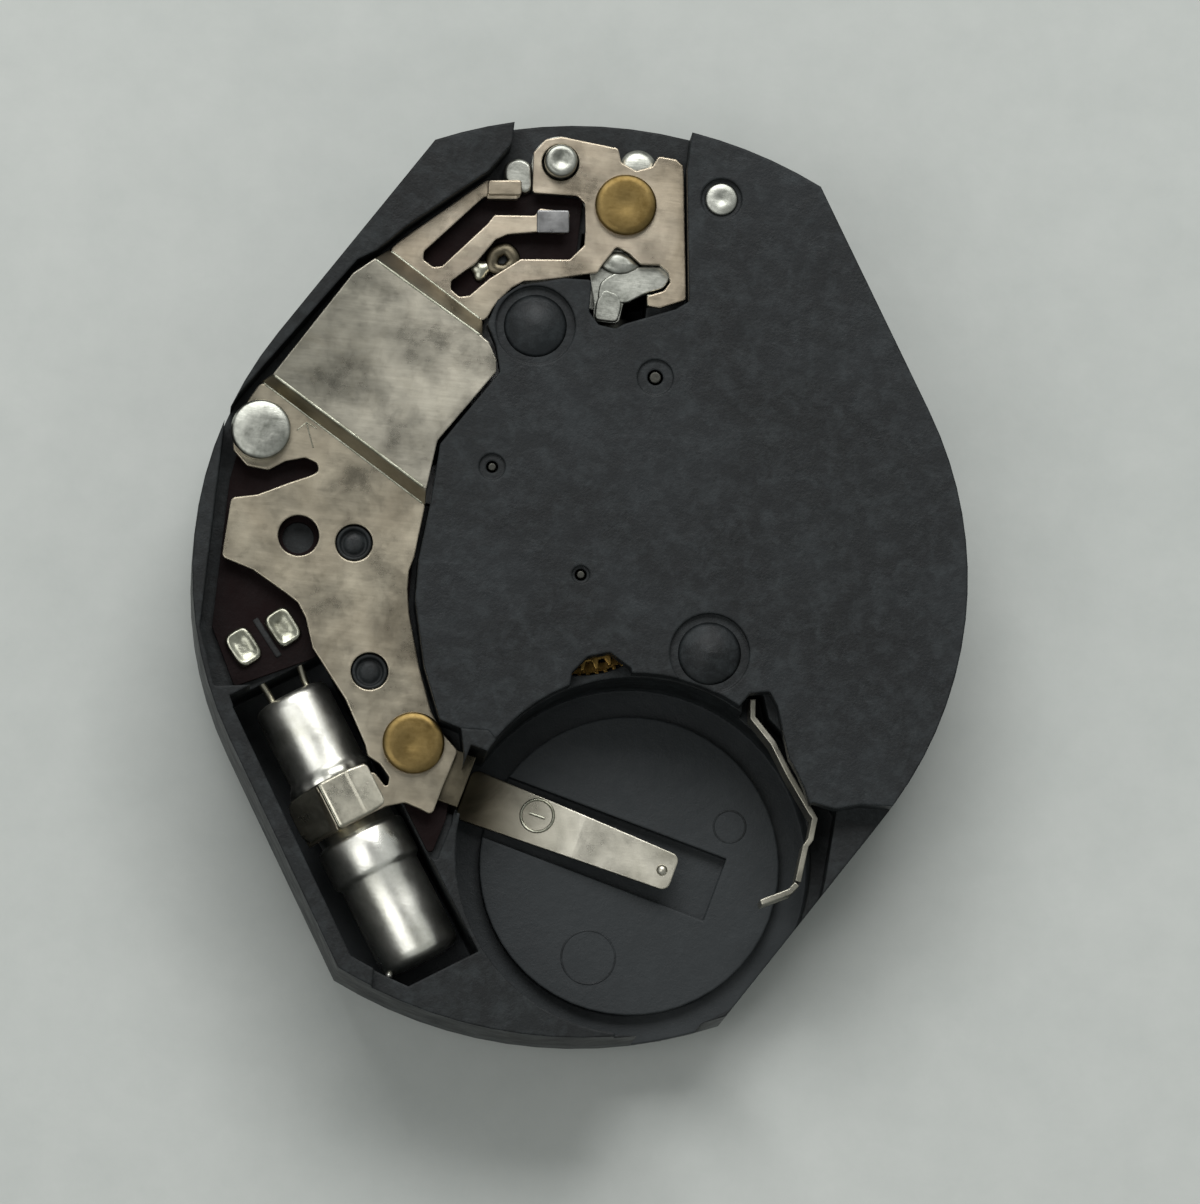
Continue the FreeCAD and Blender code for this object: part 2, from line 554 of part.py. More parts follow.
def main_plate():
    top = "plate_height"
    blank = movement_blank("plate_blank", "0", top)
    height = size("plate_height")
    web_top = size("web_top")
    seat = size("bridge_seat")
    bridge_space = pocket_tool("bridge_space", BRIDGE_EDGE + BRIDGE_REST, seat, height + 1, gap=0.0)
    module_space = pocket_tool(
        "module_space", BRIDGE_EDGE + MODULE_REST, size("module_floor"), height + 1, gap=0.0
    )
    gap = size("wheel_gap")
    train = [
        round_space("centre_space", CENTRE, wheel_radius("centre_module", CENTRE_TEETH) + gap,
                    web_top, seat + 0.1),
        round_space("third_space", THIRD, wheel_radius("third_module", THIRD_TEETH) + gap,
                    web_top, seat + 0.1),
        round_space("intermediate_space", INTERMEDIATE,
                    wheel_radius("rotor_module", INTERMEDIATE_TEETH) + gap, web_top, seat + 0.1),
        round_space("rotor_space", ROTOR, size("stator_ring") + gap, web_top, seat + 0.1),
    ]
    train.append(pocket_tool("stator_space", STATOR_OUTLINE, STATOR_LEVEL, seat + 0.1))
    coil_room = size("coil_radius") + gap
    coil = [
        turned_box("winding_space", "coil_length + 4 * wheel_gap", "2 * (coil_radius + wheel_gap)",
                   "3", ("coil_x", "coil_y"), f"coil_height - {coil_room:.4f}", COIL_ANGLE),
        turned_box("core_space", "core_length + 2 * edge_gap", "2 * core_width", "3",
                   ("coil_x", "coil_y"), "coil_height - core_thickness / 2", COIL_ANGLE),
    ]
    crystal = turned_box(
        "crystal_box", "crystal_length + 2 * lead_room", "2 * crystal_radius + 0.52", "3",
        formulas(on_crystal(0.0, -0.16)), "crystal_height - band_radius - edge_gap",
        size("crystal_angle"),
    )
    crystal = common("crystal_space", crystal, movement_blank("crystal_rim", "0", top, "rim_width"))
    cell = cylinder("cell_space", "cavity_radius", "3", "cell_x", "cell_y", "cavity_floor")
    disc = cylinder("disc_block", "disc_radius", "disc_top - cavity_floor + 0.05", "cell_x", "cell_y",
                    "cavity_floor - 0.05")
    relief = turned_box("relief_space", "4.12", "1.10", "1",
                        formulas(contact_point(2.56, 0.05)), "disc_top - relief_depth", CONTACT_ANGLE)
    contact_notch = turned_box("contact_notch", "0.60", "1.10", "3",
                               formulas(contact_point(0.30, 0.08)), "cavity_floor", CONTACT_ANGLE)
    side_room = pocket_tool("side_contact_room", SIDE_ROOM, size("side_contact_low") - 0.04,
                            height + 1, gap=0.0)
    disc = cut("cell_seat", disc, relief)
    low_right = pocket_tool("low_right_space", LOW_RIGHT, size("low_edge_right"), height + 1, gap=0.0)
    low_left = pocket_tool("low_left_space", LOW_LEFT, size("low_edge_left"), height + 1, gap=0.0)
    stem = lying_cylinder("stem_space", "stem_radius", "3", ("0", "stem_hole_end - 0.2", "stem_height"),
                          90.0)
    pinion = box("sliding_pinion_space", "2 * (pinion_radius + wheel_gap)",
                 "stem_hole_end - pinion_end + 0.42", "3",
                 "-pinion_radius - wheel_gap", "pinion_end - 0.42",
                 "stem_height - pinion_radius - wheel_gap")
    pinion_ceiling = box("setting_room", "4", "4", "2", "-2", "2.5", "bridge_seat")
    pinion = cut("sliding_pinion_room", pinion, pinion_ceiling)
    yoke_low = size("module_floor") - size("yoke_thickness") - 0.04
    yoke = pocket_tool("yoke_space", YOKE_OUTLINE, yoke_low, seat, gap=0.14)
    yoke_sweep = pocket_tool("yoke_sweep", YOKE_SWEEP, yoke_low, seat - 0.15)
    lever = pocket_tool("lever_foot_space", LEVER_FOOT_ROOM, size("module_floor"), seat + 0.1)
    recess = size("dial_recess")
    dial_side = [
        round_space("hour_space", CENTRE, wheel_radius("hour_module", HOUR_TEETH) + gap,
                    -0.1, size("web_bottom")),
        round_space("minute_space", MINUTE, wheel_radius("minute_module", MINUTE_TEETH) + gap,
                    -0.1, size("web_bottom")),
        round_space("setting_space", SETTING, wheel_radius("minute_module", SETTING_TEETH) + gap,
                    -0.1, size("web_bottom")),
        pocket_tool("dial_plate_space", DIAL_PLATE_OUTLINE, -0.1, recess, corner=0.5),
    ]
    feet = []
    for side, turn in (("right", 0.0), ("left", 180.0)):
        x, y = polar(size("foot_reach"), size("foot_angle") + turn)
        foot = cylinder(f"foot_{side}_space", "foot_radius", "foot_depth + 0.1",
                        *formulas((x, y)), "-0.1")
        feet.append(foot)
    holes = [round_space("pipe_hole", CENTRE, size("minute_radius") + size("running_gap"), 0, web_top)]
    for name, place in (("rotor", ROTOR), ("third", THIRD), ("intermediate", INTERMEDIATE)):
        holes.append(round_space(name + "_hole", place, size("pivot_radius") + size("running_gap"),
                                 PIVOT_LOW, web_top + 0.1))
    holes.append(round_space("setting_hole", SETTING, size("staff_radius") + size("running_gap"),
                             0, seat + 0.1))
    for name, places, radius, low in (
        ("peg", PEGS, "peg_radius", "peg_low"),
        ("brass", BRASS_PINS, "brass_shank", "brass_low"),
        ("rivet", RIVETS, "rivet_radius", "rivet_low"),
        ("stud", (LEVER_STUD, MODULE_STUD, BRIDGE_PIN), "stud_radius", "stud_low"),
    ):
        for i, place in enumerate(places):
            holes.append(round_space(f"{name}_seat_{i}", place, size(radius), size(low), height))
    carved = cut("plate_carved", blank, bridge_space, module_space, *train, *coil, crystal, cell,
                 contact_notch, side_room, low_right, low_left, stem, pinion, yoke, yoke_sweep, lever,
                 *dial_side, *feet, *holes)
    minute_post = feature(
        "minute_post", staff([(size("staff_radius") + 0.03, recess, size("web_bottom") + 0.05)],
                             MINUTE))
    yoke_post = feature(
        "yoke_post", staff([(size("yoke_bore") - size("running_gap"), 1.30, 1.80)], YOKE_PIVOT))
    return finish(fuse("main_plate", carved, disc, minute_post, yoke_post), "main_plate")


DIAL_PLATE_OUTLINE = [
    (-1.75, -1.55), (1.75, -1.55), (2.00, 0.40), (1.95, 3.00), (1.70, 4.20), (0.20, 4.30),
    (-1.10, 3.40), (-1.95, 1.20),
]


TOOTH_NOTCH = [(0.02, -1.90), (0.04, -1.62), (0.27, -1.33), (0.62, -1.22), (1.00, -1.44), (1.10, -1.90)]
TAIL_NOTCH = [(2.60, -2.20), (2.98, -1.62), (3.30, -1.55), (3.46, -1.78), (3.60, -2.22),
              (3.76, -2.66), (3.20, -3.20)]
BEARING_DISHES = (("rotor", ROTOR, 0.22), ("setting", SETTING, 0.30), ("seconds", CENTRE, 0.15))


def train_bridge():
    blank = movement_blank("bridge_blank", "bridge_seat", "plate_height - bridge_seat")
    region = sheet_piece("bridge_region", BRIDGE_EDGE + BRIDGE_REST, "plate_height - bridge_seat",
                         "bridge_seat")
    body = common("bridge_body", blank, region)
    seat = size("bridge_seat") - 0.1
    top = size("plate_height") + 0.1
    cell = cylinder("bridge_cell_cut", "cavity_radius + 0.02", "2", "cell_x", "cell_y", "1.5")
    notch = pocket_tool("tooth_notch", TOOTH_NOTCH, seat, top, gap=0.0)
    tail_notch = pocket_tool("tail_notch", TAIL_NOTCH, seat, top, gap=0.0)
    cuts = [cell, notch, tail_notch]
    running = size("running_gap")
    for name, place in (("rotor", ROTOR), ("third", THIRD), ("intermediate", INTERMEDIATE),
                        ("seconds", CENTRE)):
        depth_top = top if name in ("rotor", "seconds") else size("pivot_top") + 0.02
        cuts.append(round_space(name + "_bearing", place, size("pivot_radius") + running, seat,
                                depth_top))
    cuts.append(round_space("setting_bearing", SETTING, size("staff_radius") + running, seat, top))
    for name, place, radius in BEARING_DISHES:
        cuts.append(round_space(name + "_dish", place, radius, size("plate_height") - 0.06, top))
    for i, place in enumerate(RIVETS):
        cuts.append(round_space(f"rivet_hole_{i}", place, size("rivet_radius"), seat, top))
        cuts.append(round_space(f"rivet_dish_{i}", place, size("rivet_dish"),
                                size("plate_height") - size("dish_depth"), top))
    cuts.append(round_space("bridge_pin_hole", BRIDGE_PIN, size("stud_radius"), seat, top))
    cuts.append(round_space("bridge_pin_dish", BRIDGE_PIN, size("stud_radius") + 0.07,
                            size("plate_height") - 0.08, top))
    return finish(cut("train_bridge", body, *cuts), "train_bridge")


# Module cover: flat sheets at two heights joined by sloping steps
COVER_UPPER = [
    (-3.74, 5.03), (-2.08, 4.04), (-2.00, 4.11), (-1.92, 4.30), (-1.82, 4.46), (-1.65, 4.66),
    (-1.48, 4.78), (-1.21, 4.83), (-0.84, 4.92), (-0.28, 5.08), (-0.24, 5.18), (-0.02, 5.55),
    (0.20, 5.46), (0.41, 5.30), (0.72, 5.33), (0.88, 5.22), (0.93, 5.06), (0.84, 4.90), (0.57, 4.78),
    (0.60, 4.62), (0.80, 4.61), (1.22, 4.80), (0.95, 6.85), (0.92, 7.02), (0.80, 7.11), (0.50, 7.13),
    (0.42, 6.95), (0.16, 6.84), (-0.10, 6.95), (-0.18, 7.18), (-1.13, 7.26), (-1.39, 7.18),
    (-1.56, 6.94), (-1.50, 6.27), (-0.76, 6.31), (-0.62, 6.20), (-0.56, 5.75), (-0.55, 5.50),
    (-0.77, 5.23), (-1.57, 5.14), (-2.05, 4.75), (-2.34, 4.43), (-2.50, 4.39), (-2.66, 4.50),
    (-2.67, 4.64), (-2.30, 4.99), (-2.02, 5.42), (-1.83, 5.53), (-1.35, 5.63), (-0.88, 5.66),
    (-0.84, 6.02), (-1.36, 6.02), (-1.42, 5.89), (-2.08, 5.82), (-2.18, 5.66), (-2.84, 4.87),
    (-2.98, 4.83), (-3.17, 4.94), (-3.17, 5.08), (-2.30, 6.10), (-2.10, 6.16), (-1.70, 6.14),
    (-1.70, 6.46), (-2.28, 6.38), (-3.54, 5.24),
]
COVER_BOX = [
    (-3.97, 4.81), (-4.29, 4.53), (-5.40, 2.70), (-2.68, 1.11), (-2.59, 1.93), (-1.76, 3.19),
    (-1.78, 3.38), (-1.94, 3.66), (-2.05, 3.73),
]
COVER_LOWER = [
    (-5.57, 2.60), (-5.72, 2.32), (-5.96, 1.84), (-5.90, 1.41), (-5.65, 1.18), (-5.29, 1.15),
    (-5.03, 1.33), (-4.71, 1.43), (-4.50, 1.36), (-4.46, 1.22), (-4.60, 1.13), (-4.92, 0.98),
    (-5.42, 0.72), (-5.84, 0.62), (-5.88, -0.37), (-5.35, -0.52), (-4.78, -0.83), (-4.55, -0.97),
    (-4.39, -1.21), (-4.22, -1.69), (-3.59, -2.46), (-3.18, -3.16), (-3.11, -3.35), (-2.90, -3.46),
    (-2.72, -3.66), (-2.74, -3.86), (-2.98, -3.60), (-3.88, -3.96), (-3.45, -4.62), (-2.73, -4.14),
    (-2.42, -4.04), (-2.15, -4.12), (-1.96, -4.20), (-1.84, -3.70),
    (-1.66, -3.10), (-1.92, -2.86), (-2.17, -2.51), (-2.45, -1.80), (-2.72, -0.93), (-2.79, -0.54),
    (-2.80, -0.23), (-2.74, 0.00), (-2.66, 0.88),
]
STRAP_BEND = ((-3.88, -3.96), (-3.45, -4.62))
STRAP_END = ((-4.30, -4.26), (-3.88, -4.92))


def sloping_step(name, line, line_level, far_line, far_level):
    """The sheet between a line on one level and a line on another."""
    up = FreeCAD.Vector(0, 0, size("cover_thickness"))
    wires = []
    for end, far_end in zip(line, far_line):
        near = FreeCAD.Vector(end[0], end[1], line_level)
        far = FreeCAD.Vector(far_end[0], far_end[1], far_level)
        wires.append(Part.makePolygon([near, far, far + up, near + up, near]))
    return feature(name, Part.makeLoft(wires, True, True))


def module_cover():
    thickness = "cover_thickness"
    upper = sheet_piece("cover_upper", COVER_UPPER, thickness, COVER_LEVEL_FORMULA)
    lower = sheet_piece("cover_lower", COVER_LOWER, thickness, COVER_LEVEL_FORMULA, corner=0.10)
    raised = sheet_piece("cover_box", COVER_BOX, thickness, COVER_LEVEL_FORMULA + " + cover_rise",
                         corner=0.02)
    high = COVER_LEVEL + size("cover_rise")
    upper_step = sloping_step("upper_step", (COVER_UPPER[0], COVER_UPPER[1]), COVER_LEVEL,
                              (COVER_BOX[0], COVER_BOX[-1]), high)
    lower_step = sloping_step("lower_step", (COVER_LOWER[0], COVER_LOWER[-1]), COVER_LEVEL,
                              (COVER_BOX[2], COVER_BOX[3]), high)
    strap_end = sloping_step("strap_end", STRAP_BEND, COVER_LEVEL, STRAP_END,
                             COVER_LEVEL - size("strap_drop"))
    body = fuse("cover_body", upper, lower, raised, upper_step, lower_step, strap_end)
    low = COVER_LEVEL - 0.1
    high = COVER_LEVEL + 0.5
    holes = [round_space("test_hole_cut", TEST_HOLE, size("test_hole"), low, high)]
    running = size("running_gap")
    for i, place in enumerate(PEGS):
        holes.append(round_space(f"cover_peg_{i}", place, size("peg_radius") + 0.01, low, high))
    for i, place in enumerate(BRASS_PINS):
        holes.append(round_space(f"cover_brass_{i}", place, size("brass_shank") + running, low, high))
    for i, place in enumerate((LEVER_STUD, MODULE_STUD)):
        holes.append(round_space(f"cover_stud_{i}", place, size("stud_radius") + running, low, high))
    return finish(cut("module_cover", body, *holes), "module_cover")


BOARD_OUTLINE = [
    (-3.47, 4.95), (-2.25, 6.12), (-1.70, 6.30), (-0.66, 6.30), (-0.66, 5.05), (-1.45, 4.85),
    (-2.02, 4.35), (-2.06, 3.90), (-1.90, 3.58), (-1.82, 3.20), (-2.62, 1.85), (-2.68, 0.90),
    (-2.76, -0.06), (-2.74, -0.73), (-2.48, -1.80), (-2.12, -2.72), (-1.80, -2.85), (-1.68, -3.30),
    (-1.72, -4.20), (-1.90, -4.85), (-2.42, -4.05), (-3.85, -1.90), (-4.18, -1.82), (-5.42, -2.44),
    (-5.90, -1.50), (-5.90, 0.95), (-5.72, 2.10), (-4.12, 4.62), (-3.85, 4.85),
]


def circuit_board():
    board = sheet_piece("board_body", BOARD_OUTLINE, "board_thickness", "module_floor")
    low = size("module_floor") - 0.1
    high = low + 0.5
    coil = turned_box("board_coil_cut", "coil_length + 4 * wheel_gap",
                      "2 * (coil_radius + wheel_gap)", "1", ("coil_x", "coil_y"), "1.5", COIL_ANGLE)
    can = turned_box("board_can_cut", "crystal_length + 2 * lead_room", "2 * crystal_radius + 0.20", "1",
                     formulas(CRYSTAL), "1.5", size("crystal_angle"))
    cuts = [coil, can, round_space("board_test_hole", TEST_HOLE, size("test_well"), low, high)]
    for i, place in enumerate(PEGS):
        cuts.append(round_space(f"board_peg_{i}", place, size("peg_radius") + 0.02, low, high))
    cuts.append(round_space("board_brass", BRASS_PINS[1], size("brass_shank") + 0.03, low, high))
    cuts.append(round_space("board_stud", MODULE_STUD, size("stud_radius") + 0.03, low, high))
    cuts.append(round_space("board_yoke", YOKE_PIVOT, 0.30, low, high))
    return finish(cut("circuit_board", board, *cuts), "circuit_board")


def board_components():
    leads = crystal_leads()
    top = "module_floor + board_thickness"
    chip = box("ic_chip", "chip_side", "chip_side", "cover_gap - 0.03", *formulas(CHIP), top)
    finish(chip, "ic_chip")
    pads = []
    for i, place in enumerate(PADS):
        pad = turned_box(f"solder_pad_{i}", "pad_length", "pad_width", "pad_height",
                         formulas(place), top, size("crystal_angle") + 96.0)
        pads.append(cut(f"solder_pad_{i}_cut", pad, leads))
    finish(compound("solder_pads", *pads), "solder_pads")


# Motor: coil with its core, stator and rotor
def motor():
    core = turned_box("coil_core", "core_length", "core_width", "core_thickness",
                      ("coil_x", "coil_y"), "coil_height - core_thickness / 2", COIL_ANGLE)
    finish(core, "coil_core")
    x, y = polar(1, COIL_ANGLE)
    start = (f"coil_x - {x:.6f} * coil_length / 2", f"coil_y - {y:.6f} * coil_length / 2",
             "coil_height")
    roll = lying_cylinder("winding_roll", "coil_radius", "coil_length", start, COIL_ANGLE)
    core_room = turned_box("winding_core_cut", "core_length", "core_width", "core_thickness",
                           ("coil_x", "coil_y"), "coil_height - core_thickness / 2", COIL_ANGLE)
    finish(cut("coil_winding", roll, core_room), "coil_winding")
    stator_body = sheet_piece("stator_body", STATOR_OUTLINE, "stator_thickness",
                              "coil_height + core_thickness / 2", corner=0.25)
    hole = cylinder("stator_hole", "rotor_hole", "1", "rotor_x", "rotor_y", "1")
    finish(cut("stator", stator_body, hole), "stator")


def crystal():
    angle = size("crystal_angle")
    x, y = polar(1, angle)
    half = "crystal_length / 2"
    start = (f"{CRYSTAL[0]:.4f} - {x:.6f} * {half}", f"{CRYSTAL[1]:.4f} - {y:.6f} * {half}",
             "crystal_height")
    can = lying_cylinder("can_body", "crystal_radius", "crystal_length", start, angle)
    band_start = (*formulas(on_crystal(size("band_start"), 0.0)), "crystal_height")
    band = lying_cylinder("can_band", "band_radius", "band_length", band_start, angle)
    finish(fuse("crystal_can", can, band), "crystal_can")


def crystal_leads():
    """Two leads from the can's end, up beside the board's edge and onto its pads."""
    end = -size("crystal_length") / 2
    radius = size("lead_radius")
    top = size("module_floor") + size("board_thickness") + radius + 0.01
    solids = []
    for pad, side in zip(PADS, (-1, 1)):
        aside = side * size("lead_pitch") / 2
        route = [
            FreeCAD.Vector(*on_crystal(end, aside), size("crystal_height") + 0.25),
            FreeCAD.Vector(*on_crystal(end - 0.12, aside), size("crystal_height") + 0.30),
            FreeCAD.Vector(*on_crystal(end - 0.20, aside), top),
            FreeCAD.Vector(*pad, top),
        ]
        lead = None
        for here, there in zip(route, route[1:]):
            run = there - here
            rod = Part.makeCylinder(radius, run.Length, here, run)
            lead = rod if lead is None else lead.fuse([rod, Part.makeSphere(radius, here)])
        solids.append(lead.removeSplitter())
    item = feature("crystal_leads_shape", Part.makeCompound(solids))
    return finish(item, "crystal_leads")


# Train: each wheel and its pinion or staff are two nodes on one body
def train():
    """Wheels from the rotor to the centre wheel, meshed at rest through their tooth phases."""
    top = size("pivot_top")
    pivot = size("pivot_radius")
    arbor = size("staff_radius")
    low = PIVOT_LOW + 0.02
    level = INTERMEDIATE_LEVEL
    third_phase = 0.0
    to_centre = direction(THIRD, CENTRE)
    seconds_phase = phase_of(to_centre, third_phase, THIRD_TEETH, SECONDS_LEAVES)
    centre_phase = phase_of(to_centre, third_phase, THIRD_LEAVES, CENTRE_TEETH)
    intermediate_phase = phase_of(direction(CENTRE, INTERMEDIATE), 0.0, SECONDS_TEETH,
                                  INTERMEDIATE_LEAVES)
    rotor_phase = phase_of(direction(INTERMEDIATE, ROTOR), 0.0, INTERMEDIATE_TEETH, ROTOR_LEAVES)

    def wheel(name, teeth, module, place, height, phase, hub):
        radius = size(module) * teeth / 2
        disc = toothed_disc(teeth, size(module), WHEEL, hub, phase)
        disc = windows(disc, 3, hub + 0.16, radius - 0.18, WHEEL)
        finish(feature(name + "_shape", disc, place[0], place[1], height), name)

    def pinion(name, teeth, module, place, height, phase, steps):
        leaves = toothed_disc(teeth, size(module), LEAF, 0, phase)
        leaves.translate(FreeCAD.Vector(place[0], place[1], height))
        finish(feature(name + "_shape", staff(steps, place).fuse(leaves).removeSplitter()), name)

    wheel("third_wheel", THIRD_TEETH, "third_module", THIRD, THIRD_LEVEL, third_phase, arbor)
    pinion("third_pinion", THIRD_LEAVES, "centre_module", THIRD, CENTRE_LEVEL - 0.04, third_phase,
           [(pivot, low, top), (arbor, size("web_top") + 0.01, size("bridge_seat") - 0.02)])
    seat_top = size("seconds_seat_length") - size("post_tip_seconds")
    wheel("seconds_wheel", SECONDS_TEETH, "seconds_module", CENTRE, SECONDS_LEVEL, 0.0, arbor)
    pinion("seconds_pinion", SECONDS_LEAVES, "third_module", CENTRE, THIRD_LEVEL - 0.06,
           seconds_phase,
           [(size("seconds_radius") - size("seat_step"), -size("post_tip_seconds"), seat_top),
            (size("seconds_radius"), seat_top, THIRD_LEVEL),
            (arbor, THIRD_LEVEL - 0.1, size("bridge_seat") - 0.02),
            (pivot, size("bridge_seat") - 0.1, size("plate_height") - 0.04)])
    wheel("intermediate_wheel", INTERMEDIATE_TEETH, "rotor_module", INTERMEDIATE, level, 0.0, arbor)
    pinion("intermediate_pinion", INTERMEDIATE_LEAVES, "seconds_module", INTERMEDIATE,
           SECONDS_LEVEL - 0.06, intermediate_phase,
           [(pivot, low, top), (arbor, size("web_top") + 0.01, size("bridge_seat") - 0.02)])
    middle = STATOR_LEVEL + size("stator_thickness") / 2
    magnet_low = middle - size("magnet_height") / 2
    pinion("rotor_pinion", ROTOR_LEAVES, "rotor_module", ROTOR, level - 0.04, rotor_phase,
           [(pivot, low, size("plate_height") - 0.05),
            (arbor, size("web_top") + 0.01, level)])
    magnet = Part.makeCylinder(size("magnet_radius"), size("magnet_height"))
    magnet = magnet.cut(Part.makeCylinder(arbor, size("magnet_height")))
    finish(feature("rotor_magnet_shape", magnet, ROTOR[0], ROTOR[1], magnet_low), "rotor_magnet")
    pipe = size("minute_radius")
    wheel("centre_wheel", CENTRE_TEETH, "centre_module", CENTRE, CENTRE_LEVEL, centre_phase, pipe)


# Motion work on the dial side, and the setting wheel that drives it
def motion_work():
    pipe = size("minute_radius")
    bore = size("seconds_radius") + size("running_gap")
    to_minute = direction(CENTRE, MINUTE)
    seat_top = size("minute_seat_length") - size("post_tip_minute")
    tube = staff([(pipe - size("seat_step"), -size("post_tip_minute"), seat_top),
                  (pipe, seat_top, CENTRE_LEVEL + WHEEL)], CENTRE)
    leaves = toothed_disc(CANNON_LEAVES, size("minute_module"), LEAF, 0)
    leaves.translate(FreeCAD.Vector(0, 0, MINUTE_LEVEL - 0.04))
    hole = Part.makeCylinder(bore, 4, FreeCAD.Vector(0, 0, -2))
    finish(feature("cannon_pinion_shape", tube.fuse(leaves).cut(hole)), "cannon_pinion")

    minute_phase = phase_of(to_minute, 0.0, CANNON_LEAVES, MINUTE_TEETH)
    post_bore = size("staff_radius") + 0.03 + size("running_gap")
    disc = toothed_disc(MINUTE_TEETH, size("minute_module"), WHEEL, 0.2, minute_phase)
    finish(feature("minute_wheel_shape", disc, MINUTE[0], MINUTE[1], MINUTE_LEVEL), "minute_wheel")
    leaf_height = MINUTE_LEVEL - size("dial_recess") - 0.02
    leaves = toothed_disc(MINUTE_LEAVES, size("hour_module"), leaf_height, post_bore)
    hub = Part.makeCylinder(0.2, leaf_height + WHEEL).cut(
        Part.makeCylinder(post_bore, leaf_height + WHEEL))
    finish(feature("minute_pinion_shape", leaves.fuse(hub), MINUTE[0], MINUTE[1],
                   size("dial_recess") + 0.02), "minute_pinion")

    hour_phase = phase_of(direction(MINUTE, CENTRE), 0.0, MINUTE_LEAVES, HOUR_TEETH)
    hour = toothed_disc(HOUR_TEETH, size("hour_module"), WHEEL, 0, hour_phase)
    hour.translate(FreeCAD.Vector(0, 0, HOUR_LEVEL))
    hour = hour.fuse(staff([(size("hour_radius"), -size("post_tip_hour"), 0),
                            (size("hour_hub"), 0, HOUR_LEVEL + WHEEL)],
                           CENTRE))
    inner = pipe + size("running_gap")
    hour = hour.cut(Part.makeCylinder(inner, 3, FreeCAD.Vector(0, 0, -1.5)))
    finish(feature("hour_wheel_shape", hour.removeSplitter()), "hour_wheel")

    setting_phase = phase_of(direction(MINUTE, SETTING), minute_phase, MINUTE_TEETH, SETTING_TEETH)
    arbor = size("staff_radius")
    crown = toothed_disc(SETTING_TEETH, size("minute_module"), 0.28, 0, setting_phase)
    crown.translate(FreeCAD.Vector(SETTING[0], SETTING[1], HOUR_LEVEL + 0.02))
    rod = staff([(arbor, 0.03, size("plate_height") - 0.06)], SETTING)
    finish(feature("setting_wheel_shape", crown.fuse(rod)), "setting_wheel")


def dial_side_plate():
    plate = sheet_piece("dial_plate_body", DIAL_PLATE_OUTLINE, "dial_recess - 0.01", "0", corner=0.5)
    centre = cylinder("dial_plate_centre", "hour_hub + running_gap", "1", z="-0.5")
    post = cylinder("dial_plate_post", "staff_radius + 0.03", "1", *formulas(MINUTE), "-0.5")
    arbor = cylinder("dial_plate_arbor", "staff_radius + running_gap", "1", *formulas(SETTING), "-0.5")
    finish(cut("dial_side_plate", plate, centre, post, arbor), "dial_side_plate")


# Setting work: lever, yoke and sliding pinion
def setting_lever():
    lever = sheet_piece("lever_body", LEVER_OUTLINE, "lever_thickness", "module_floor + 0.04",
                        corner=0.10)
    eye = cylinder("lever_eye", "stud_radius + 0.20", "lever_thickness", *formulas(LEVER_STUD),
                   "module_floor + 0.04")
    bore = cylinder("lever_bore", "stud_radius + running_gap", "1", *formulas(LEVER_STUD), "1.5")
    finish(cut("setting_lever", fuse("lever_joined", lever, eye), bore), "setting_lever")


def yoke():
    level = "module_floor - yoke_thickness - 0.02"
    arm = sheet_piece("yoke_arm", YOKE_OUTLINE, "yoke_thickness", level, corner=0.10)
    boss = cylinder("yoke_boss", "0.22", "0.38", *formulas(YOKE_PIVOT), level)
    tongue_low = "stem_height + groove_radius + running_gap"
    tongue = box("yoke_tongue", "0.30", "0.15", "module_floor - stem_height - groove_radius - 0.1",
                 "-0.15", "pinion_end + pinion_length / 2 - 0.075 + 0.10", tongue_low)
    bore = cylinder("yoke_bore_cut", "yoke_bore", "2", *formulas(YOKE_PIVOT), "1")
    finish(cut("yoke", fuse("yoke_joined", arm, boss, tongue), bore), "yoke")


def sliding_pinion():
    """A hub on the stem's axis with crown teeth at its inner end and a groove for the yoke."""
    length = size("pinion_length")
    radius = size("pinion_radius")
    body = Part.makeCylinder(radius, length)
    groove_low = length / 2 + 0.10 - size("groove_width") / 2
    ring = Part.makeCylinder(radius + 0.1, size("groove_width"), FreeCAD.Vector(0, 0, groove_low))
    ring = ring.cut(Part.makeCylinder(size("groove_radius"), size("groove_width"),
                                      FreeCAD.Vector(0, 0, groove_low)))
    body = body.cut(ring)
    for tooth in range(CROWN_TEETH):
        slot = Part.makeBox(radius, 0.11, 0.14, FreeCAD.Vector(0.30, -0.055, 0))
        slot.rotate(FreeCAD.Vector(), FreeCAD.Vector(0, 0, 1), 360 / CROWN_TEETH * (tooth + 0.5))
        body = body.cut(slot)
    square = 2 * size("pinion_bore")
    body = body.cut(Part.makeBox(square, square, length, FreeCAD.Vector(-square / 2, -square / 2, 0)))
    item = feature("sliding_pinion_shape", body)
    item.Placement = FreeCAD.Placement(
        FreeCAD.Vector(0, size("pinion_end"), size("stem_height")),
        FreeCAD.Rotation(FreeCAD.Vector(1, 0, 0), -90),
    )
    finish(item, "sliding_pinion")


